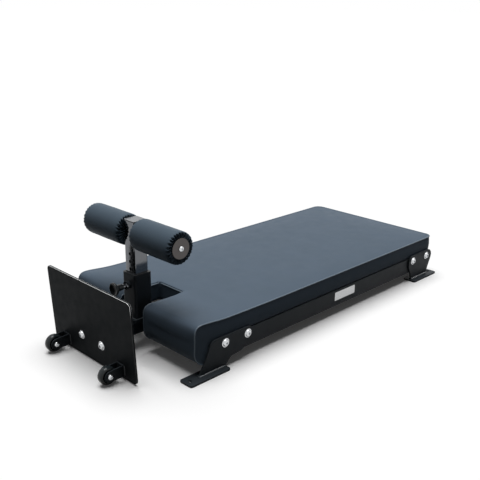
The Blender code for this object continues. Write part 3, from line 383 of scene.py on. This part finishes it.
def vinyl(name, light, dark, roughness, gloss_level):
    """Leather-grained upholstery vinyl: pebbles 1.2 mm across, drawn 1.6 mm so that they show."""
    pebble = 1.6 * MM
    wander = 0.8 * MM
    wander_size = 4 * MM
    made, tree, shader, place = new_material(name, light, roughness, {"Specular IOR Level": gloss_level})
    shade = between(tree, mottle(tree, place, size=90 * MM, low=0, high=1), dark, light)
    tree.links.new(shade, shader.inputs["Base Color"])
    gloss = mottle(tree, place, size=40 * MM, low=roughness - 0.05, high=roughness + 0.05)
    tree.links.new(gloss, shader.inputs["Roughness"])
    warp = add(tree, "ShaderNodeTexNoise", {"Vector": place, "Scale": 1 / wander_size, "Detail": 1.0})
    scaled = {0: warp.outputs["Color"], "Scale": wander}
    shift = add(tree, "ShaderNodeVectorMath", scaled, operation="SCALE")
    moved = add(tree, "ShaderNodeVectorMath", {0: place, 1: shift.outputs["Vector"]}, operation="ADD")
    cells = {"Vector": moved.outputs["Vector"], "Scale": 1 / pebble}
    pebbles = add(tree, "ShaderNodeTexVoronoi", cells, feature="SMOOTH_F1")
    dented(tree, shader, pebbles.outputs["Distance"], distance=-0.14 * MM, strength=0.55)
    return made


def worn_and_highlit_edge(name, paint, steel, low, high):
    """The plate's cut edge: painted below one height and rubbed to bare steel above another, the steel
    near-white so that the top of the edge also carries a painted highlight.
    """
    made, tree, shader, place = new_material(name, paint, 0.35)
    height = add(tree, "ShaderNodeSeparateXYZ", {0: place}).outputs["Z"]
    wear_and_highlight = add(tree, "ShaderNodeMapRange", {"Value": height, "From Min": low, "From Max": high})
    worn_and_highlit = wear_and_highlight.outputs["Result"]
    tree.links.new(between(tree, worn_and_highlit, paint, steel), shader.inputs["Base Color"])
    tree.links.new(worn_and_highlit, shader.inputs["Metallic"])
    dented(tree, shader, grained(tree, place, 2 * MM), distance=0.05 * MM, strength=0.4)
    return made


roller_low, roller_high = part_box("foam_roller_left")
roller_axis = Vector(((roller_low[0] + roller_high[0]) / 2, 0, (roller_low[2] + roller_high[2]) / 2))

frame_paint = powder_coat(
    "satin_black_powder_coat", "363B40", "32373B", roughness=0.4, peel=1.5 * MM, gloss_level=0.08
)
plate_paint = powder_coat(
    "matte_black_powder_coat", "26292C", "25282A", roughness=0.5, peel=0.9 * MM, gloss_level=0.035
)
# The cut edge's near-white steel at its top is real wear drawn bright enough to be a painted highlight
# along the plate's top edge
plate_edge_wear_and_highlight = worn_and_highlit_edge("plate_edge_paint_and_highlight_steel", "1E2123", "F2F3F4", low=WEAR_AND_HIGHLIGHT_START, high=WEAR_AND_HIGHLIGHT_END)
# Chrome drawn far darker than real chrome, standing in for the dark surroundings it mirrors: painted dark
# reflection
chrome = bright_metal("polished_chrome_darkened_as_dark_reflection", "66686B", roughness=0.07)
zinc = bright_metal("bright_zinc_plating", "C8CACC", roughness=0.2)
# The beads are the frame's black paint drawn lighter and glossier, so that they show as painted highlights
weld_paint_painted_highlight = powder_coat("weld_paint_lightened_as_highlight", "565D64", "4A5056", roughness=0.25, peel=2 * MM, gloss_level=0.6)
nameplate_metal = bright_metal("brushed_aluminium", "B4B5B6", roughness=0.3, stretch=(0.03, 1, 1))
# The end discs' bronze-grey hue is their own, but their darkness stands in for the dark surroundings they
# mirror: painted dark reflection
disc_metal = turned_metal("faced_steel_darkened_as_dark_reflection", "504D4C", roughness=0.36, centre=roller_axis, pitch=0.9 * MM)
plastic = moulded("moulded_black_nylon", "1A1E21", roughness=0.32, grain=0.8 * MM, depth=0.06 * MM)
# The post cap's plastic is drawn lighter than the other black plastic: a painted highlight on its top
cap_plastic_painted_highlight = moulded("polished_plastic_painted_highlight", "7C7F83", roughness=0.2, grain=0.8 * MM, depth=0.03 * MM)
wheel_plastic = moulded("glossy_polyurethane", "293033", roughness=0.12, grain=5 * MM, depth=0.05 * MM)
pad_vinyl = vinyl("slate_vinyl", "586573", "566370", roughness=0.46, gloss_level=0.03)
# The piping is the pad's vinyl drawn lighter and glossier, so that the seams show a painted highlight
welt_vinyl_painted_highlight = vinyl("slate_vinyl_piping_painted_highlight", "6E7E8B", "687785", roughness=0.34, gloss_level=0.3)
roller_vinyl = vinyl("dark_slate_vinyl", "54626E", "515E6A", roughness=0.44, gloss_level=0.03)
spring_wire = bright_metal("spring_wire", "9A9C9E", roughness=0.3)
lining = moulded(
    "black_lining_cloth_on_board", "1C1D1F", roughness=0.8, grain=0.7 * MM, depth=0.1 * MM
)

SLOT_FINISHES = {
    "frame_paint": frame_paint,
    "plate_paint": plate_paint,
    "chrome_plate": chrome,
    "zinc_plate": zinc,
    "disc_metal": disc_metal,
    "bare_plate": nameplate_metal,
    "black_plastic": plastic,
    "wheel_plastic": wheel_plastic,
    "pad_vinyl": pad_vinyl,
    "roller_vinyl": roller_vinyl,
    "plywood": lining,
    "spring_steel": spring_wire,
}
slot_of = {row["node"]: row["material_slot"] for row in frame["record"]["subparts"]}
for name, node in nodes.items():
    for material_slot in node.material_slots:
        # The post cap takes the lightened plastic, a painted highlight
        material_slot.material = cap_plastic_painted_highlight if name == "post_cap" else SLOT_FINISHES[slot_of[name]]

# Camera
camera = bpy.data.objects.new("camera", bpy.data.cameras.new("camera"))
scene.collection.objects.link(camera)
camera.data.lens = CAMERA_LENS
camera.data.sensor_width = SENSOR_WIDTH
camera.data.clip_start = NEAREST_SEEN
level = math.cos(CAMERA_ELEVATION)
back = Vector(
    (
        math.sin(CAMERA_AZIMUTH) * level,
        -math.cos(CAMERA_AZIMUTH) * level,
        math.sin(CAMERA_ELEVATION),
    )
)
right = (-back).cross(Vector((0, 0, 1))).normalized()
up = right.cross(-back)
tilted_right = math.cos(CAMERA_ROLL) * right + math.sin(CAMERA_ROLL) * up
tilted_up = -math.sin(CAMERA_ROLL) * right + math.cos(CAMERA_ROLL) * up
turn = Matrix((tilted_right, tilted_up, back)).transposed()
camera.matrix_world = Matrix.Translation(CAMERA_PLACE) @ turn.to_4x4()
scene.camera = camera


def new_mesh(work, name, sharp_angle=SHARP_ANGLE):
    """The finished bmesh as a mesh, smooth where its faces meet at a shallow angle."""
    mesh = bpy.data.meshes.new(name)
    work.to_mesh(mesh)
    work.free()
    mesh.shade_smooth()
    mesh.set_sharp_from_angle(angle=sharp_angle)
    return mesh


def seated(mesh, material, body, replaces=()):
    """Makes the piece of a finished mesh that already lies in its place, and seats it on a body."""
    mesh.materials.clear()
    mesh.materials.append(material)
    made = bpy.data.objects.new(mesh.name, mesh)
    scene.collection.objects.link(made)
    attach(made, body)
    if replaces:
        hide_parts(*replaces)
    return made


def evaluated(mesh, *modifiers):
    """The mesh with modifiers applied, each given as its type and its settings."""
    drawn = bpy.data.objects.new("drawn", mesh)
    scene.collection.objects.link(drawn)
    for kind, settings in modifiers:
        modifier = drawn.modifiers.new(kind.lower(), kind)
        for setting, value in settings.items():
            setattr(modifier, setting, value)
    made = bpy.data.meshes.new_from_object(drawn.evaluated_get(bpy.context.evaluated_depsgraph_get()))
    bpy.data.objects.remove(drawn)
    return made


def turned(profile, steps, closed=False):
    """Spins (radius, height) points about Z into one closed skin. The caller places and frees it."""
    work = bmesh.new()
    verts = [work.verts.new((radius, 0, height)) for radius, height in profile]
    pairs = list(zip(verts, verts[1:]))
    if closed:
        pairs.append((verts[-1], verts[0]))
    edges = [work.edges.new(pair) for pair in pairs]
    bmesh.ops.spin(
        work,
        geom=verts + edges,
        cent=(0, 0, 0),
        axis=(0, 0, 1),
        dvec=(0, 0, 0),
        angle=2 * math.pi,
        steps=steps,
        use_merge=True,
        use_duplicate=False,
    )
    bmesh.ops.remove_doubles(work, verts=work.verts, dist=SAME_PLACE)
    bmesh.ops.recalc_face_normals(work, faces=work.faces)
    return work


def smooth_step(value):
    """Climbs from 0 to 1 as the value does, and is level at both ends."""
    value = min(1.0, max(0.0, value))
    return value * value * (3 - 2 * value)


# Pad
pad_low, pad_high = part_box("pad")
notch_rear = pad_low[0] + NOTCH_DEPTH


def squared(x, z):
    """Fills the nose's top edge out, because the foam under the cover is stiffer than the round solid."""
    centre_x, centre_z = pad_low[0] + NOSE_TOP_RADIUS, PAD_EDGE_TOP - NOSE_TOP_RADIUS
    along, above = centre_x - x, z - centre_z
    if along <= 0 or above <= 0:
        return x, z
    reach = math.hypot(along, above)
    fuller = ((along / reach) ** NOSE_FULLNESS + (above / reach) ** NOSE_FULLNESS) ** (-1 / NOSE_FULLNESS)
    return centre_x - along * fuller, centre_z + above * fuller


def nose_profile():
    """The pad's side view from the nose's underside round to its top, as x and z."""
    points = []
    for radius, centre_z, first in (
        (NOSE_BOTTOM_RADIUS, pad_low[2] + NOSE_BOTTOM_RADIUS, 270),
        (NOSE_TOP_RADIUS, PAD_EDGE_TOP - NOSE_TOP_RADIUS, 180),
    ):
        for step in range(NOSE_STEPS + 1):
            angle = math.radians(first - 90 / NOSE_STEPS * step)
            x = pad_low[0] + radius + radius * math.cos(angle)
            points.append(squared(x, centre_z + radius * math.sin(angle)))
    return points


def drawn_in(z):
    """How far the side panel pulls in at a height."""
    return SIDE_DRAW * min(1.0, abs(z - PAD_MIDDLE_HEIGHT) / (PAD_EDGE_TOP - PAD_MIDDLE_HEIGHT)) ** 2


def outer_seam():
    """The corners of the seam between top sheet and side panel, round the pad from nose to nose."""
    draw = drawn_in(PAD_EDGE_TOP)
    path = [Vector((x, HALF_WIDTH - drawn_in(z), z)) for x, z in nose_profile()]
    centre = Vector((pad_high[0] - REAR_CORNER, HALF_WIDTH - REAR_CORNER, PAD_EDGE_TOP))
    for step in range(REAR_CORNER_STEPS + 1):
        angle = math.radians(90 - 90 / REAR_CORNER_STEPS * step)
        path.append(centre + Vector((math.cos(angle), math.sin(angle), 0)) * (REAR_CORNER - draw))
    return path + [Vector((p.x, -p.y, p.z)) for p in reversed(path)]


def notch_seam():
    """The corners of the seam round the notch, from the nose's underside on one side to the other."""
    path = [Vector((x, NOTCH_HALF, z)) for x, z in nose_profile()]
    path.append(Vector((notch_rear, NOTCH_HALF, PAD_EDGE_TOP)))
    return path + [Vector((p.x, -p.y, p.z)) for p in reversed(path)]


def nose_rise(place):
    """How much higher the foam stands at the front end, most of all at its two outer corners."""
    behind = place.x - pad_low[0]
    foot = PAD_BOTTOM + RISE_START
    height = smooth_step((place.z - foot) / (PAD_EDGE_TOP - foot))
    outwards = smooth_step((abs(place.y) - ACROSS_START) / ACROSS_FADE)
    corner = math.exp(-(((behind - CORNER_PLACE) / CORNER_SPREAD) ** 2))
    corner *= CORNER_RISE_AT_MIDDLE + (1 - CORNER_RISE_AT_MIDDLE) * outwards
    edge = outwards * (1 - smooth_step((behind - EDGE_FULL) / EDGE_FADE))
    return height * (CORNER_RISE * corner + EDGE_RISE * edge)


def stepped(corners, spacing):
    """The path through the corners with a point at each spacing or less."""
    path = [corners[0]]
    for start, end in zip(corners, corners[1:]):
        steps = max(1, math.ceil((end - start).length / spacing))
        path += [start.lerp(end, step / steps) for step in range(1, steps + 1)]
    return path


def looked_up(points):
    """A tree that finds the nearest of the points."""
    found = KDTree(len(points))
    for number, point in enumerate(points):
        found.insert(point, number)
    found.balance()
    return found


def tube(name, path, radius, ripple=0.0):
    """A round cord along a path with closed ends. A ripple from 0 to 1 varies its thickness."""
    curve = bpy.data.curves.new("path", "CURVE")
    curve.dimensions = "3D"
    curve.bevel_depth = radius
    curve.bevel_resolution = 2
    curve.use_fill_caps = True
    spline = curve.splines.new("POLY")
    spline.points.add(len(path) - 1)
    for number, (point, spot) in enumerate(zip(spline.points, path)):
        point.co = (*spot, 1)
        point.radius = 1 - ripple * (number % 2)
    drawn = bpy.data.objects.new("path", curve)
    scene.collection.objects.link(drawn)
    mesh = bpy.data.meshes.new_from_object(drawn.evaluated_get(bpy.context.evaluated_depsgraph_get()))
    bpy.data.objects.remove(drawn)
    work = bmesh.new()
    work.from_mesh(mesh)
    bpy.data.meshes.remove(mesh)
    bmesh.ops.remove_doubles(work, verts=work.verts, dist=SAME_PLACE)
    bmesh.ops.recalc_face_normals(work, faces=work.faces)
    return new_mesh(work, name)


def merged_copy(node_name):
    """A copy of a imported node's mesh with its loose corners merged."""
    work = bmesh.new()
    work.from_mesh(nodes[node_name].data)
    bmesh.ops.remove_doubles(work, verts=work.verts, dist=SAME_PLACE)
    mesh = bpy.data.meshes.new(node_name)
    work.to_mesh(mesh)
    work.free()
    if mesh.has_custom_normals:
        mesh.attributes.remove(mesh.attributes["custom_normal"])
    return mesh


def inflated(mesh, held):
    """Where the cover's points go when its foam swells: a light cloth, held by each point's weight."""
    drawn = bpy.data.objects.new("cover", mesh)
    scene.collection.objects.link(drawn)
    group = drawn.vertex_groups.new(name="held")
    for index, weight in enumerate(held):
        if weight > 0:
            group.add([index], weight, "REPLACE")
    cloth = drawn.modifiers.new("cloth", "CLOTH")
    for setting, value in CLOTH.items():
        setattr(cloth.settings, setting, value)
    cloth.settings.effector_weights.gravity = 0
    cloth.point_cache.frame_start = 1
    cloth.point_cache.frame_end = CLOTH_FRAMES
    for frame_number in range(1, CLOTH_FRAMES + 1):
        scene.frame_set(frame_number)
    result = drawn.evaluated_get(bpy.context.evaluated_depsgraph_get()).to_mesh()
    places = [vert.co.copy() for vert in result.vertices]
    scene.frame_set(1)
    bpy.data.objects.remove(drawn)
    return places


def hold(point, seam_distance):
    """How firmly the cover is held at a point, from 0 where it is free to 1."""
    if point.x > pad_low[0] + BOARD_HOLD_FRONT and point.z < PAD_BOTTOM + BOARD_HOLD_HEIGHT:
        return 1.0
    at_seam = 1 - smooth_step((seam_distance - SEAM_HOLD) / SEAM_HOLD_FADE)
    beside_notch = abs(point.y) < NOTCH_HALF + NOTCH_HOLD_MARGIN
    if beside_notch and point.x < notch_rear + NOTCH_HOLD_MARGIN:
        return max(at_seam, NOTCH_HOLD)
    return at_seam


def swell_limit(point, normal):
    """The furthest that the foam pushes the cover out at a point."""
    if normal.z > FACES_UP:
        return TOP_SWELL
    return SIDE_SWELL if point.z > LOW_HEIGHT else LOW_SWELL


def pad_cover():
    """The upholstered pad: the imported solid, remeshed, swollen as cloth and creased along its seams."""
    mesh = evaluated(merged_copy("pad"), ("REMESH", {"mode": "VOXEL", "voxel_size": COVER_MESH}))
    for vert in mesh.vertices:
        vert.co.x, vert.co.z = squared(vert.co.x, vert.co.z)
    seams = [stepped(outer_seam(), SEAM_SPACING), stepped(notch_seam(), SEAM_SPACING)]
    seam_tree = looked_up(seams[0] + seams[1])
    rest = [vert.co.copy() for vert in mesh.vertices]
    normals = [vert.normal.copy() for vert in mesh.vertices]
    distances = [seam_tree.find(point)[2] for point in rest]
    held = [hold(point, distance) for point, distance in zip(rest, distances)]
    moved = inflated(mesh, held)
    for vert, start, end, normal in zip(mesh.vertices, rest, moved, normals):
        rise = (end - start).length
        limit = swell_limit(start, normal)
        if rise > 0:
            vert.co = start + (end - start) * (limit * math.tanh(rise / limit) / rise)
    work = bmesh.new()
    work.from_mesh(mesh)
    for _ in range(SMOOTH_ROUNDS):
        bmesh.ops.smooth_vert(
            work,
            verts=work.verts,
            factor=SMOOTH_SHARE,
            use_axis_x=True,
            use_axis_y=True,
            use_axis_z=True,
        )
    # The seams are drawn tight, so the cover creases along them.
    for vert, distance in zip(work.verts, distances):
        if distance < SEAM_REACH:
            vert.co = seam_tree.find(vert.co)[0]
    bmesh.ops.remove_doubles(work, verts=work.verts, dist=SEAM_MERGE)
    for vert in work.verts:
        vert.co.z += nose_rise(vert.co)
    bmesh.ops.recalc_face_normals(work, faces=work.faces)
    cover = new_mesh(work, "pad_cover")
    made = seated(cover, pad_vinyl, "frame", ["pad"])
    skin = looked_up([vert.co for vert in cover.vertices])
    for name, seam in zip(("pad_welt_outer", "pad_welt_notch"), seams):
        line = [point + Vector((0, 0, nose_rise(point))) for point in seam[::SEAM_POINTS_A_WELT_POINT]]
        sunk = [point - cover.vertices[skin.find(point)[1]].normal * WELT_SINK for point in line]
        # The piping's lighter vinyl is a painted highlight along the seams
        seated(tube(name, sunk, WELT_RADIUS), welt_vinyl_painted_highlight, "frame")


# Ankle rollers
def roller_outline():
    """The cover's section from the bore's inner end, over the barrel, to under the end disc."""
    outline = [(15.8, 7.0), (17.5, 6.0), (22, 5.2), (27, 4.2), (32, 3.0), (37, 1.9), (41, 1.2), (44, 1.0)]
    outline += [(46.4, 1.7), (48.2, 3.2), (49.4, 5.2), (50.0, 7.8), (50.3, 11), (50.5, 15), (50.6, 20)]
    for step in range(1, BARREL_STEPS + 1):
        radius = BARREL_RADIUS + BARREL_BULGE * math.sin(math.pi * step / BARREL_STEPS)
        outline.append((radius, BARREL_START + BARREL_LENGTH * step / BARREL_STEPS))
    outline += [(50.5, 173), (50.3, 177), (50.0, 180.2), (49.4, 182.8), (48.2, 184.8), (46.4, 186.3)]
    outline += [(44, 187.0), (41.5, 187.0), (39, 186.8), (36.5, 186.2), (34.6, 185.2), (33.4, 183.9)]
    outline += [(32.6, 183.2), (26, 183.0), (20, 183.0), (15.8, 183.0)]
    return [(radius * MM, height * MM) for radius, height in outline]


def pleat_draws(seed):
    """The places and depths of one gathered end's folds, uneven as hand-drawn ones are."""
    draws = random.Random(seed)
    edges = [index + draws.uniform(-PLEAT_SHIFT, PLEAT_SHIFT) for index in range(PLEATS)]
    return edges, [draws.uniform(SHALLOWEST_PLEAT, 1.0) for _ in range(PLEATS)]


def fold(angle, pleats):
    """How deep the cover lies in its folds at an angle: 0 on a ridge and 1 in a groove."""
    edges, depths = pleats
    position = angle / (2 * math.pi) * PLEATS % PLEATS
    for index in range(PLEATS):
        width = (edges[(index + 1) % PLEATS] - edges[index]) % PLEATS
        share = (position - edges[index]) % PLEATS / width
        if share < 1:
            return depths[index] * (1 - math.sin(math.pi * share**PLEAT_LEAN) ** PLEAT_POINT)
    return 0.0


def roller_cover(side):
    """One ankle roller's cover, gathered into folds at its inner end and under the end disc."""
    name = "left" if side > 0 else "right"
    work = turned(roller_outline(), PLEATS * PLEAT_STEPS, closed=True)
    length = roller_high[1] - roller_low[1]
    ends = (
        (pleat_draws(INNER_SEED + side), 1, INNER_BORE),
        (pleat_draws(OUTER_SEED + side), -1, OUTER_BORE),
    )
    for vert in work.verts:
        radius, height = math.hypot(vert.co.x, vert.co.y), vert.co.z
        angle = math.atan2(vert.co.y, vert.co.x)
        wave = noise.noise(Vector((vert.co.x, vert.co.y, vert.co.z + side)) / WAVE_LENGTH)
        inwards = WAVE_SINK - WAVE_DEPTH * wave if radius > WAVE_RADIUS else 0.0
        for pleats, edge, bore in ends:
            from_end = height if edge > 0 else length - height
            if from_end > GATHER_FULL + GATHER_FADE or radius < bore:
                continue
            twist = SWAY * math.sin(SWAYS * angle) + TWIST_A_METRE * (TWIST_FROM - radius)
            depth = fold(angle + twist, pleats)
            on_rim = smooth_step((radius - RIM_START) / RIM_WIDTH)
            fade = 1 - smooth_step((from_end - GATHER_FULL) / GATHER_FADE)
            at_bore = smooth_step((radius - bore) / BORE_FADE)
            sunk = FOLD_DEPTH * (1 - on_rim) * at_bore + 0.5 * RIM_DEPTH * on_rim
            vert.co.z += edge * depth * fade * sunk
            inwards += RIM_DEPTH * depth * on_rim * fade
        vert.co.x *= 1 - inwards / radius
        vert.co.y *= 1 - inwards / radius
    turn = Matrix.Rotation(-side * math.pi / 2, 4, "X")
    start = Matrix.Translation(roller_axis + Vector((0, side * roller_low[1], 0)))
    bmesh.ops.transform(work, matrix=start @ turn, verts=work.verts)
    bmesh.ops.recalc_face_normals(work, faces=work.faces)
    mesh = new_mesh(work, f"roller_cover_{name}", FOLDS_SHARP_ANGLE)
    made = seated(mesh, roller_vinyl, f"roller_{name}", [f"foam_roller_{name}"])


# Turned pieces
def mounting(node_name, outwards):
    """A turned node's outer end on its centre line, its length, and the turn that lays Z along it."""
    turn = Vector(outwards).to_track_quat("Z", "Y").to_matrix()
    local = [turn.transposed() @ vert.co for vert in nodes[node_name].data.vertices]
    low, high = ([pick(point[axis] for point in local) for axis in range(3)] for pick in (min, max))
    end = turn @ Vector(((low[0] + high[0]) / 2, (low[1] + high[1]) / 2, high[2]))
    return end, high[2] - low[2], turn


def turned_piece(name, node_name, outwards, profile, finish, steps=BOLT_STEPS, closed=False, socket=None):
    """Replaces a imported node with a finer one. The profile is radius and height in millimetres, down from
    the outer end. A socket is its width over the flats and the height above which it lies."""
    end, length, turn = mounting(node_name, outwards)
    work = turned([(radius * MM, height * MM) for radius, height in profile(length / MM)], steps, closed)
    if socket:
        flats, lowest = socket
        half_width = 0.5 * flats * MM
        for vert in work.verts:
            radius, angle = math.hypot(vert.co.x, vert.co.y), math.atan2(vert.co.y, vert.co.x)
            in_socket = SOCKET_INNER * half_width < radius < SOCKET_OUTER * half_width
            if in_socket and vert.co.z > lowest * MM:
                flat = half_width / math.cos((angle + math.pi / 6) % (math.pi / 3) - math.pi / 6)
                vert.co.x *= flat / radius
                vert.co.y *= flat / radius
    bmesh.ops.transform(work, matrix=Matrix.Translation(end) @ turn.to_4x4(), verts=work.verts)
    bmesh.ops.recalc_face_normals(work, faces=work.faces)
    bodies = frame["record"]["behaviour"]["bodies"]
    owner = next(body for body, members in bodies.items() if node_name in members)
    return seated(new_mesh(work, name), finish, owner, [node_name])


def collar_bolt(length):
    """A flanged bolt's section, from the bottom of its socket over the head to the end of its shank."""
    head = [(0, -5), (4.1, -5), (4.1, -0.5), (4.6, -0.1), (5.6, 0), (7.6, -0.5), (9.3, -1.5), (10.6, -3)]
    head += [(11.3, -4.6), (11.6, -5.6), (12.4, -6), (14.1, -6), (14.5, -6.4), (14.5, -7.7), (14.2, -8)]
    return head + [(6, -8), (6, -length + 0.8), (5.2, -length), (0, -length)]


def button_bolt(length):
    """A smaller domed bolt's section, from the bottom of its socket to the end of its shank."""
    head = [(0, -3.4), (3.1, -3.4), (3.1, -0.4), (3.5, -0.1), (4.2, 0), (5.8, -0.5), (7.2, -1.5)]
    head += [(8.2, -2.9), (8.7, -4.4), (8.75, -5.2), (8.5, -5.5)]
    return head + [(5, -5.5), (5, -length + 0.8), (4.2, -length), (0, -length)]


def wheel(length):
    """A wheel's section from the bore over the hub and the dished web to the tread, alike on both faces."""
    half = [(5.4, 0.2), (10.3, 0.2), (11, 0.9), (11.4, 2.9), (12.6, 3.6), (18.4, 3.6), (19.6, 3.1)]
    half += [(20.3, 1.8), (21.2, 0.9), (22.8, 0.7), (24.8, 1.4), (26.4, 3.1), (27.5, 5.7), (28, 9.4)]
    near = [(radius, -height) for radius, height in half]
    return near + [(radius, height - length) for radius, height in reversed(half)]


def knob(length):
    """A dished mushroom head on a flared neck, hollow for the pin's stem and barrel."""
    inside = [(0, -8), (3.8, -8), (3.8, -17.7), (7.8, -17.7), (7.8, -length)]
    neck = [(9.4, -length), (10, -length + 0.7), (10, -26), (10.5, -20), (12.2, -14.5), (15.6, -10.2)]
    head = [(19.2, -7.8), (20.7, -6.2), (21, -4.4), (21, -2), (20.5, -0.6), (19.3, 0), (18, -0.3)]
    return inside + neck + head + [(15, -2.4), (11, -3.8), (6, -4.6), (0, -4.8)]


# Welds
def along(start, end, y):
    """A line at one place across, between two places given as x and z."""
    return [(start[0], y, start[1]), (end[0], y, end[1])]


def across(place, half):
    """A line from side to side at a place given as x and z."""
    return [(place[0], -half, place[1]), (place[0], half, place[1])]


def bead_paths():
    """The two ends of every weld bead, in millimetres, with the bead's radius."""
    paths = []
    for side in (1, -1):
        for y in BRACKET_FACES:
            for start, end in BRACKET_BASES:
                paths.append((along((start, BASE_TOP), (end, BASE_TOP), side * y), BASE_BEAD))
        for y in FORK_FACES:
            paths.append((along(FORK_LOW, FORK_HIGH, side * y), FORK_BEAD))
        for crossings, face in ((RAIL_CROSSINGS, RAIL_FACE), (BEAM_CROSSINGS, BEAM_FACE)):
            for x in crossings:
                paths.append((along((x, CROSS_LOW), (x, CROSS_HIGH), side * face), CROSS_BEAD))
        paths.append((along(FLANGE_LOW, FLANGE_HIGH, side * FLANGE_FACE), FLANGE_SIDE_BEAD))
        sleeve = along((SLEEVE_FRONT, SLEEVE_FOOT), (SLEEVE_REAR, SLEEVE_FOOT), side * SLEEVE_FACE)
        paths.append((sleeve, SLEEVE_BEAD))
    paths.append((across(FLANGE_TOP, FLANGE_TOP_HALF), FLANGE_TOP_BEAD))
    paths.append((across((SLEEVE_FRONT, SLEEVE_FOOT), SLEEVE_FRONT_HALF), SLEEVE_BEAD))
    return paths


def weld_beads():
    """Painted weld beads along the joints: each a row of overlapping ripples, in a paint lighter than the
    frame's that is a painted highlight.
    """
    work = bmesh.new()
    for corners, radius in bead_paths():
        line = stepped([Vector(corner) * MM for corner in corners], RIPPLE_SPACING * MM)
        work.from_mesh(tube("bead", line, radius * MM, RIPPLE))
    seated(new_mesh(work, "weld_beads"), weld_paint_painted_highlight, "frame")


COLLAR_BOLT = {"profile": collar_bolt, "finish": zinc, "socket": (8, -6)}
BUTTON_BOLT = {"profile": button_bolt, "finish": zinc, "socket": (6, -4)}
WHEEL = {"profile": wheel, "finish": wheel_plastic, "steps": LARGE_STEPS, "closed": True}
KNOB = {"profile": knob, "finish": plastic, "steps": LARGE_STEPS}

pad_cover()
plate_normal = Vector((-math.cos(PLATE_LEAN), 0, -math.sin(PLATE_LEAN)))
for side, name in ((1, "left"), (-1, "right")):
    roller_cover(side)
    out = (0, side, 0)
    turned_piece(f"roller_end_bolt_{name}", f"end_bolt_{name}", out, **BUTTON_BOLT)
    turned_piece(f"plate_bolt_{name}", f"foot_plate_bolt_{name}", plate_normal, **COLLAR_BOLT)
    turned_piece(f"axle_bolt_{name}", f"wheel_axle_{name}", (0, -1, 0), **BUTTON_BOLT)
    turned_piece(f"transport_wheel_{name}", f"wheel_{name}", (0, -1, 0), **WHEEL)
    for end in ("front", "rear"):
        for position in ("fore", "aft"):
            place = f"{end}_{name}_{position}"
            turned_piece(f"rail_bolt_{place}", f"bracket_bolt_{place}", out, **COLLAR_BOLT)
turned_piece("pin_knob", "pull_knob", (-1, 0, 0), **KNOB)
weld_beads()

# Edges of the steel pieces: ground smooth before painting
for name, width in STEEL_EDGES.items():
    weld = nodes[name].modifiers.new("merged_corners", "WELD")
    weld.merge_threshold = EASED_MERGE
    edge = nodes[name].modifiers.new("eased_edges", "BEVEL")
    edge.width = width
    edge.segments = EASED_STEPS
    edge.limit_method = "ANGLE"
    edge.angle_limit = EASED_ANGLE
    edge.use_clamp_overlap = True
    # The plate's bevelled edges take the worn edge paint, whose near-white top is a painted highlight
    if name == "foot_plate":
        nodes[name].data.materials.append(plate_edge_wear_and_highlight)
        edge.material = 1


def grey(level):
    """A grey of one linear level."""
    return (level, level, level, 1)


def where_seen(tree):
    """1 where the eye looks, straight, by reflection or through glass, and 0 for light that spreads."""
    ray = add(tree, "ShaderNodeLightPath")
    seen = ray.outputs["Is Camera Ray"]
    for kind in ("Is Glossy Ray", "Is Transmission Ray"):
        seen = add(tree, "ShaderNodeMath", {0: seen, 1: ray.outputs[kind]}, operation="MAXIMUM").outputs[0]
    return seen


# Light: the overhead lamp
scene.view_settings.view_transform = "Standard"
sun = bpy.data.objects.new("overhead_lamp", bpy.data.lights.new("overhead_lamp", "SUN"))
sun.data.energy = LAMP_POWER
sun.data.angle = LAMP_SPREAD
sun.rotation_euler = LAMP_TILT
scene.collection.objects.link(sun)

# Room: white where it is seen or mirrored, and dim as a light
world = bpy.data.worlds.new("studio")
scene.world = world
world.use_nodes = True
tree = world.node_tree
level_range = {"Value": where_seen(tree), "To Min": ROOM_LEVEL, "To Max": 1.0}
strength = add(tree, "ShaderNodeMapRange", level_range)
background = tree.nodes["Background"]
background.inputs["Color"].default_value = grey(1)
tree.links.new(strength.outputs["Result"], background.inputs["Strength"])

# Floor: pale where it is seen or mirrored, darker for the light that it throws back up
floor_mesh = bpy.data.meshes.new("floor")
work = bmesh.new()
bmesh.ops.create_grid(work, x_segments=1, y_segments=1, size=FLOOR_HALF)
work.to_mesh(floor_mesh)
work.free()
floor = bpy.data.objects.new("floor", floor_mesh)
scene.collection.objects.link(floor)
floor_material = bpy.data.materials.new("pale_floor")
floor_material.use_nodes = True
tree = floor_material.node_tree
tree.nodes.clear()
seen = where_seen(tree)
dim = add(tree, "ShaderNodeBsdfDiffuse", {"Color": grey(FLOOR_BOUNCE)})
pale = add(tree, "ShaderNodeBsdfDiffuse", {"Color": grey(FLOOR_SEEN)})
glow = add(tree, "ShaderNodeEmission", {"Color": grey(1), "Strength": FLOOR_GLOW})
lifted = add(tree, "ShaderNodeAddShader", {0: pale.outputs[0], 1: glow.outputs[0]})
shown = add(tree, "ShaderNodeMixShader", {0: seen, 1: dim.outputs[0], 2: lifted.outputs[0]})
add(tree, "ShaderNodeOutputMaterial", {"Surface": shown.outputs[0]})
floor_mesh.materials.append(floor_material)
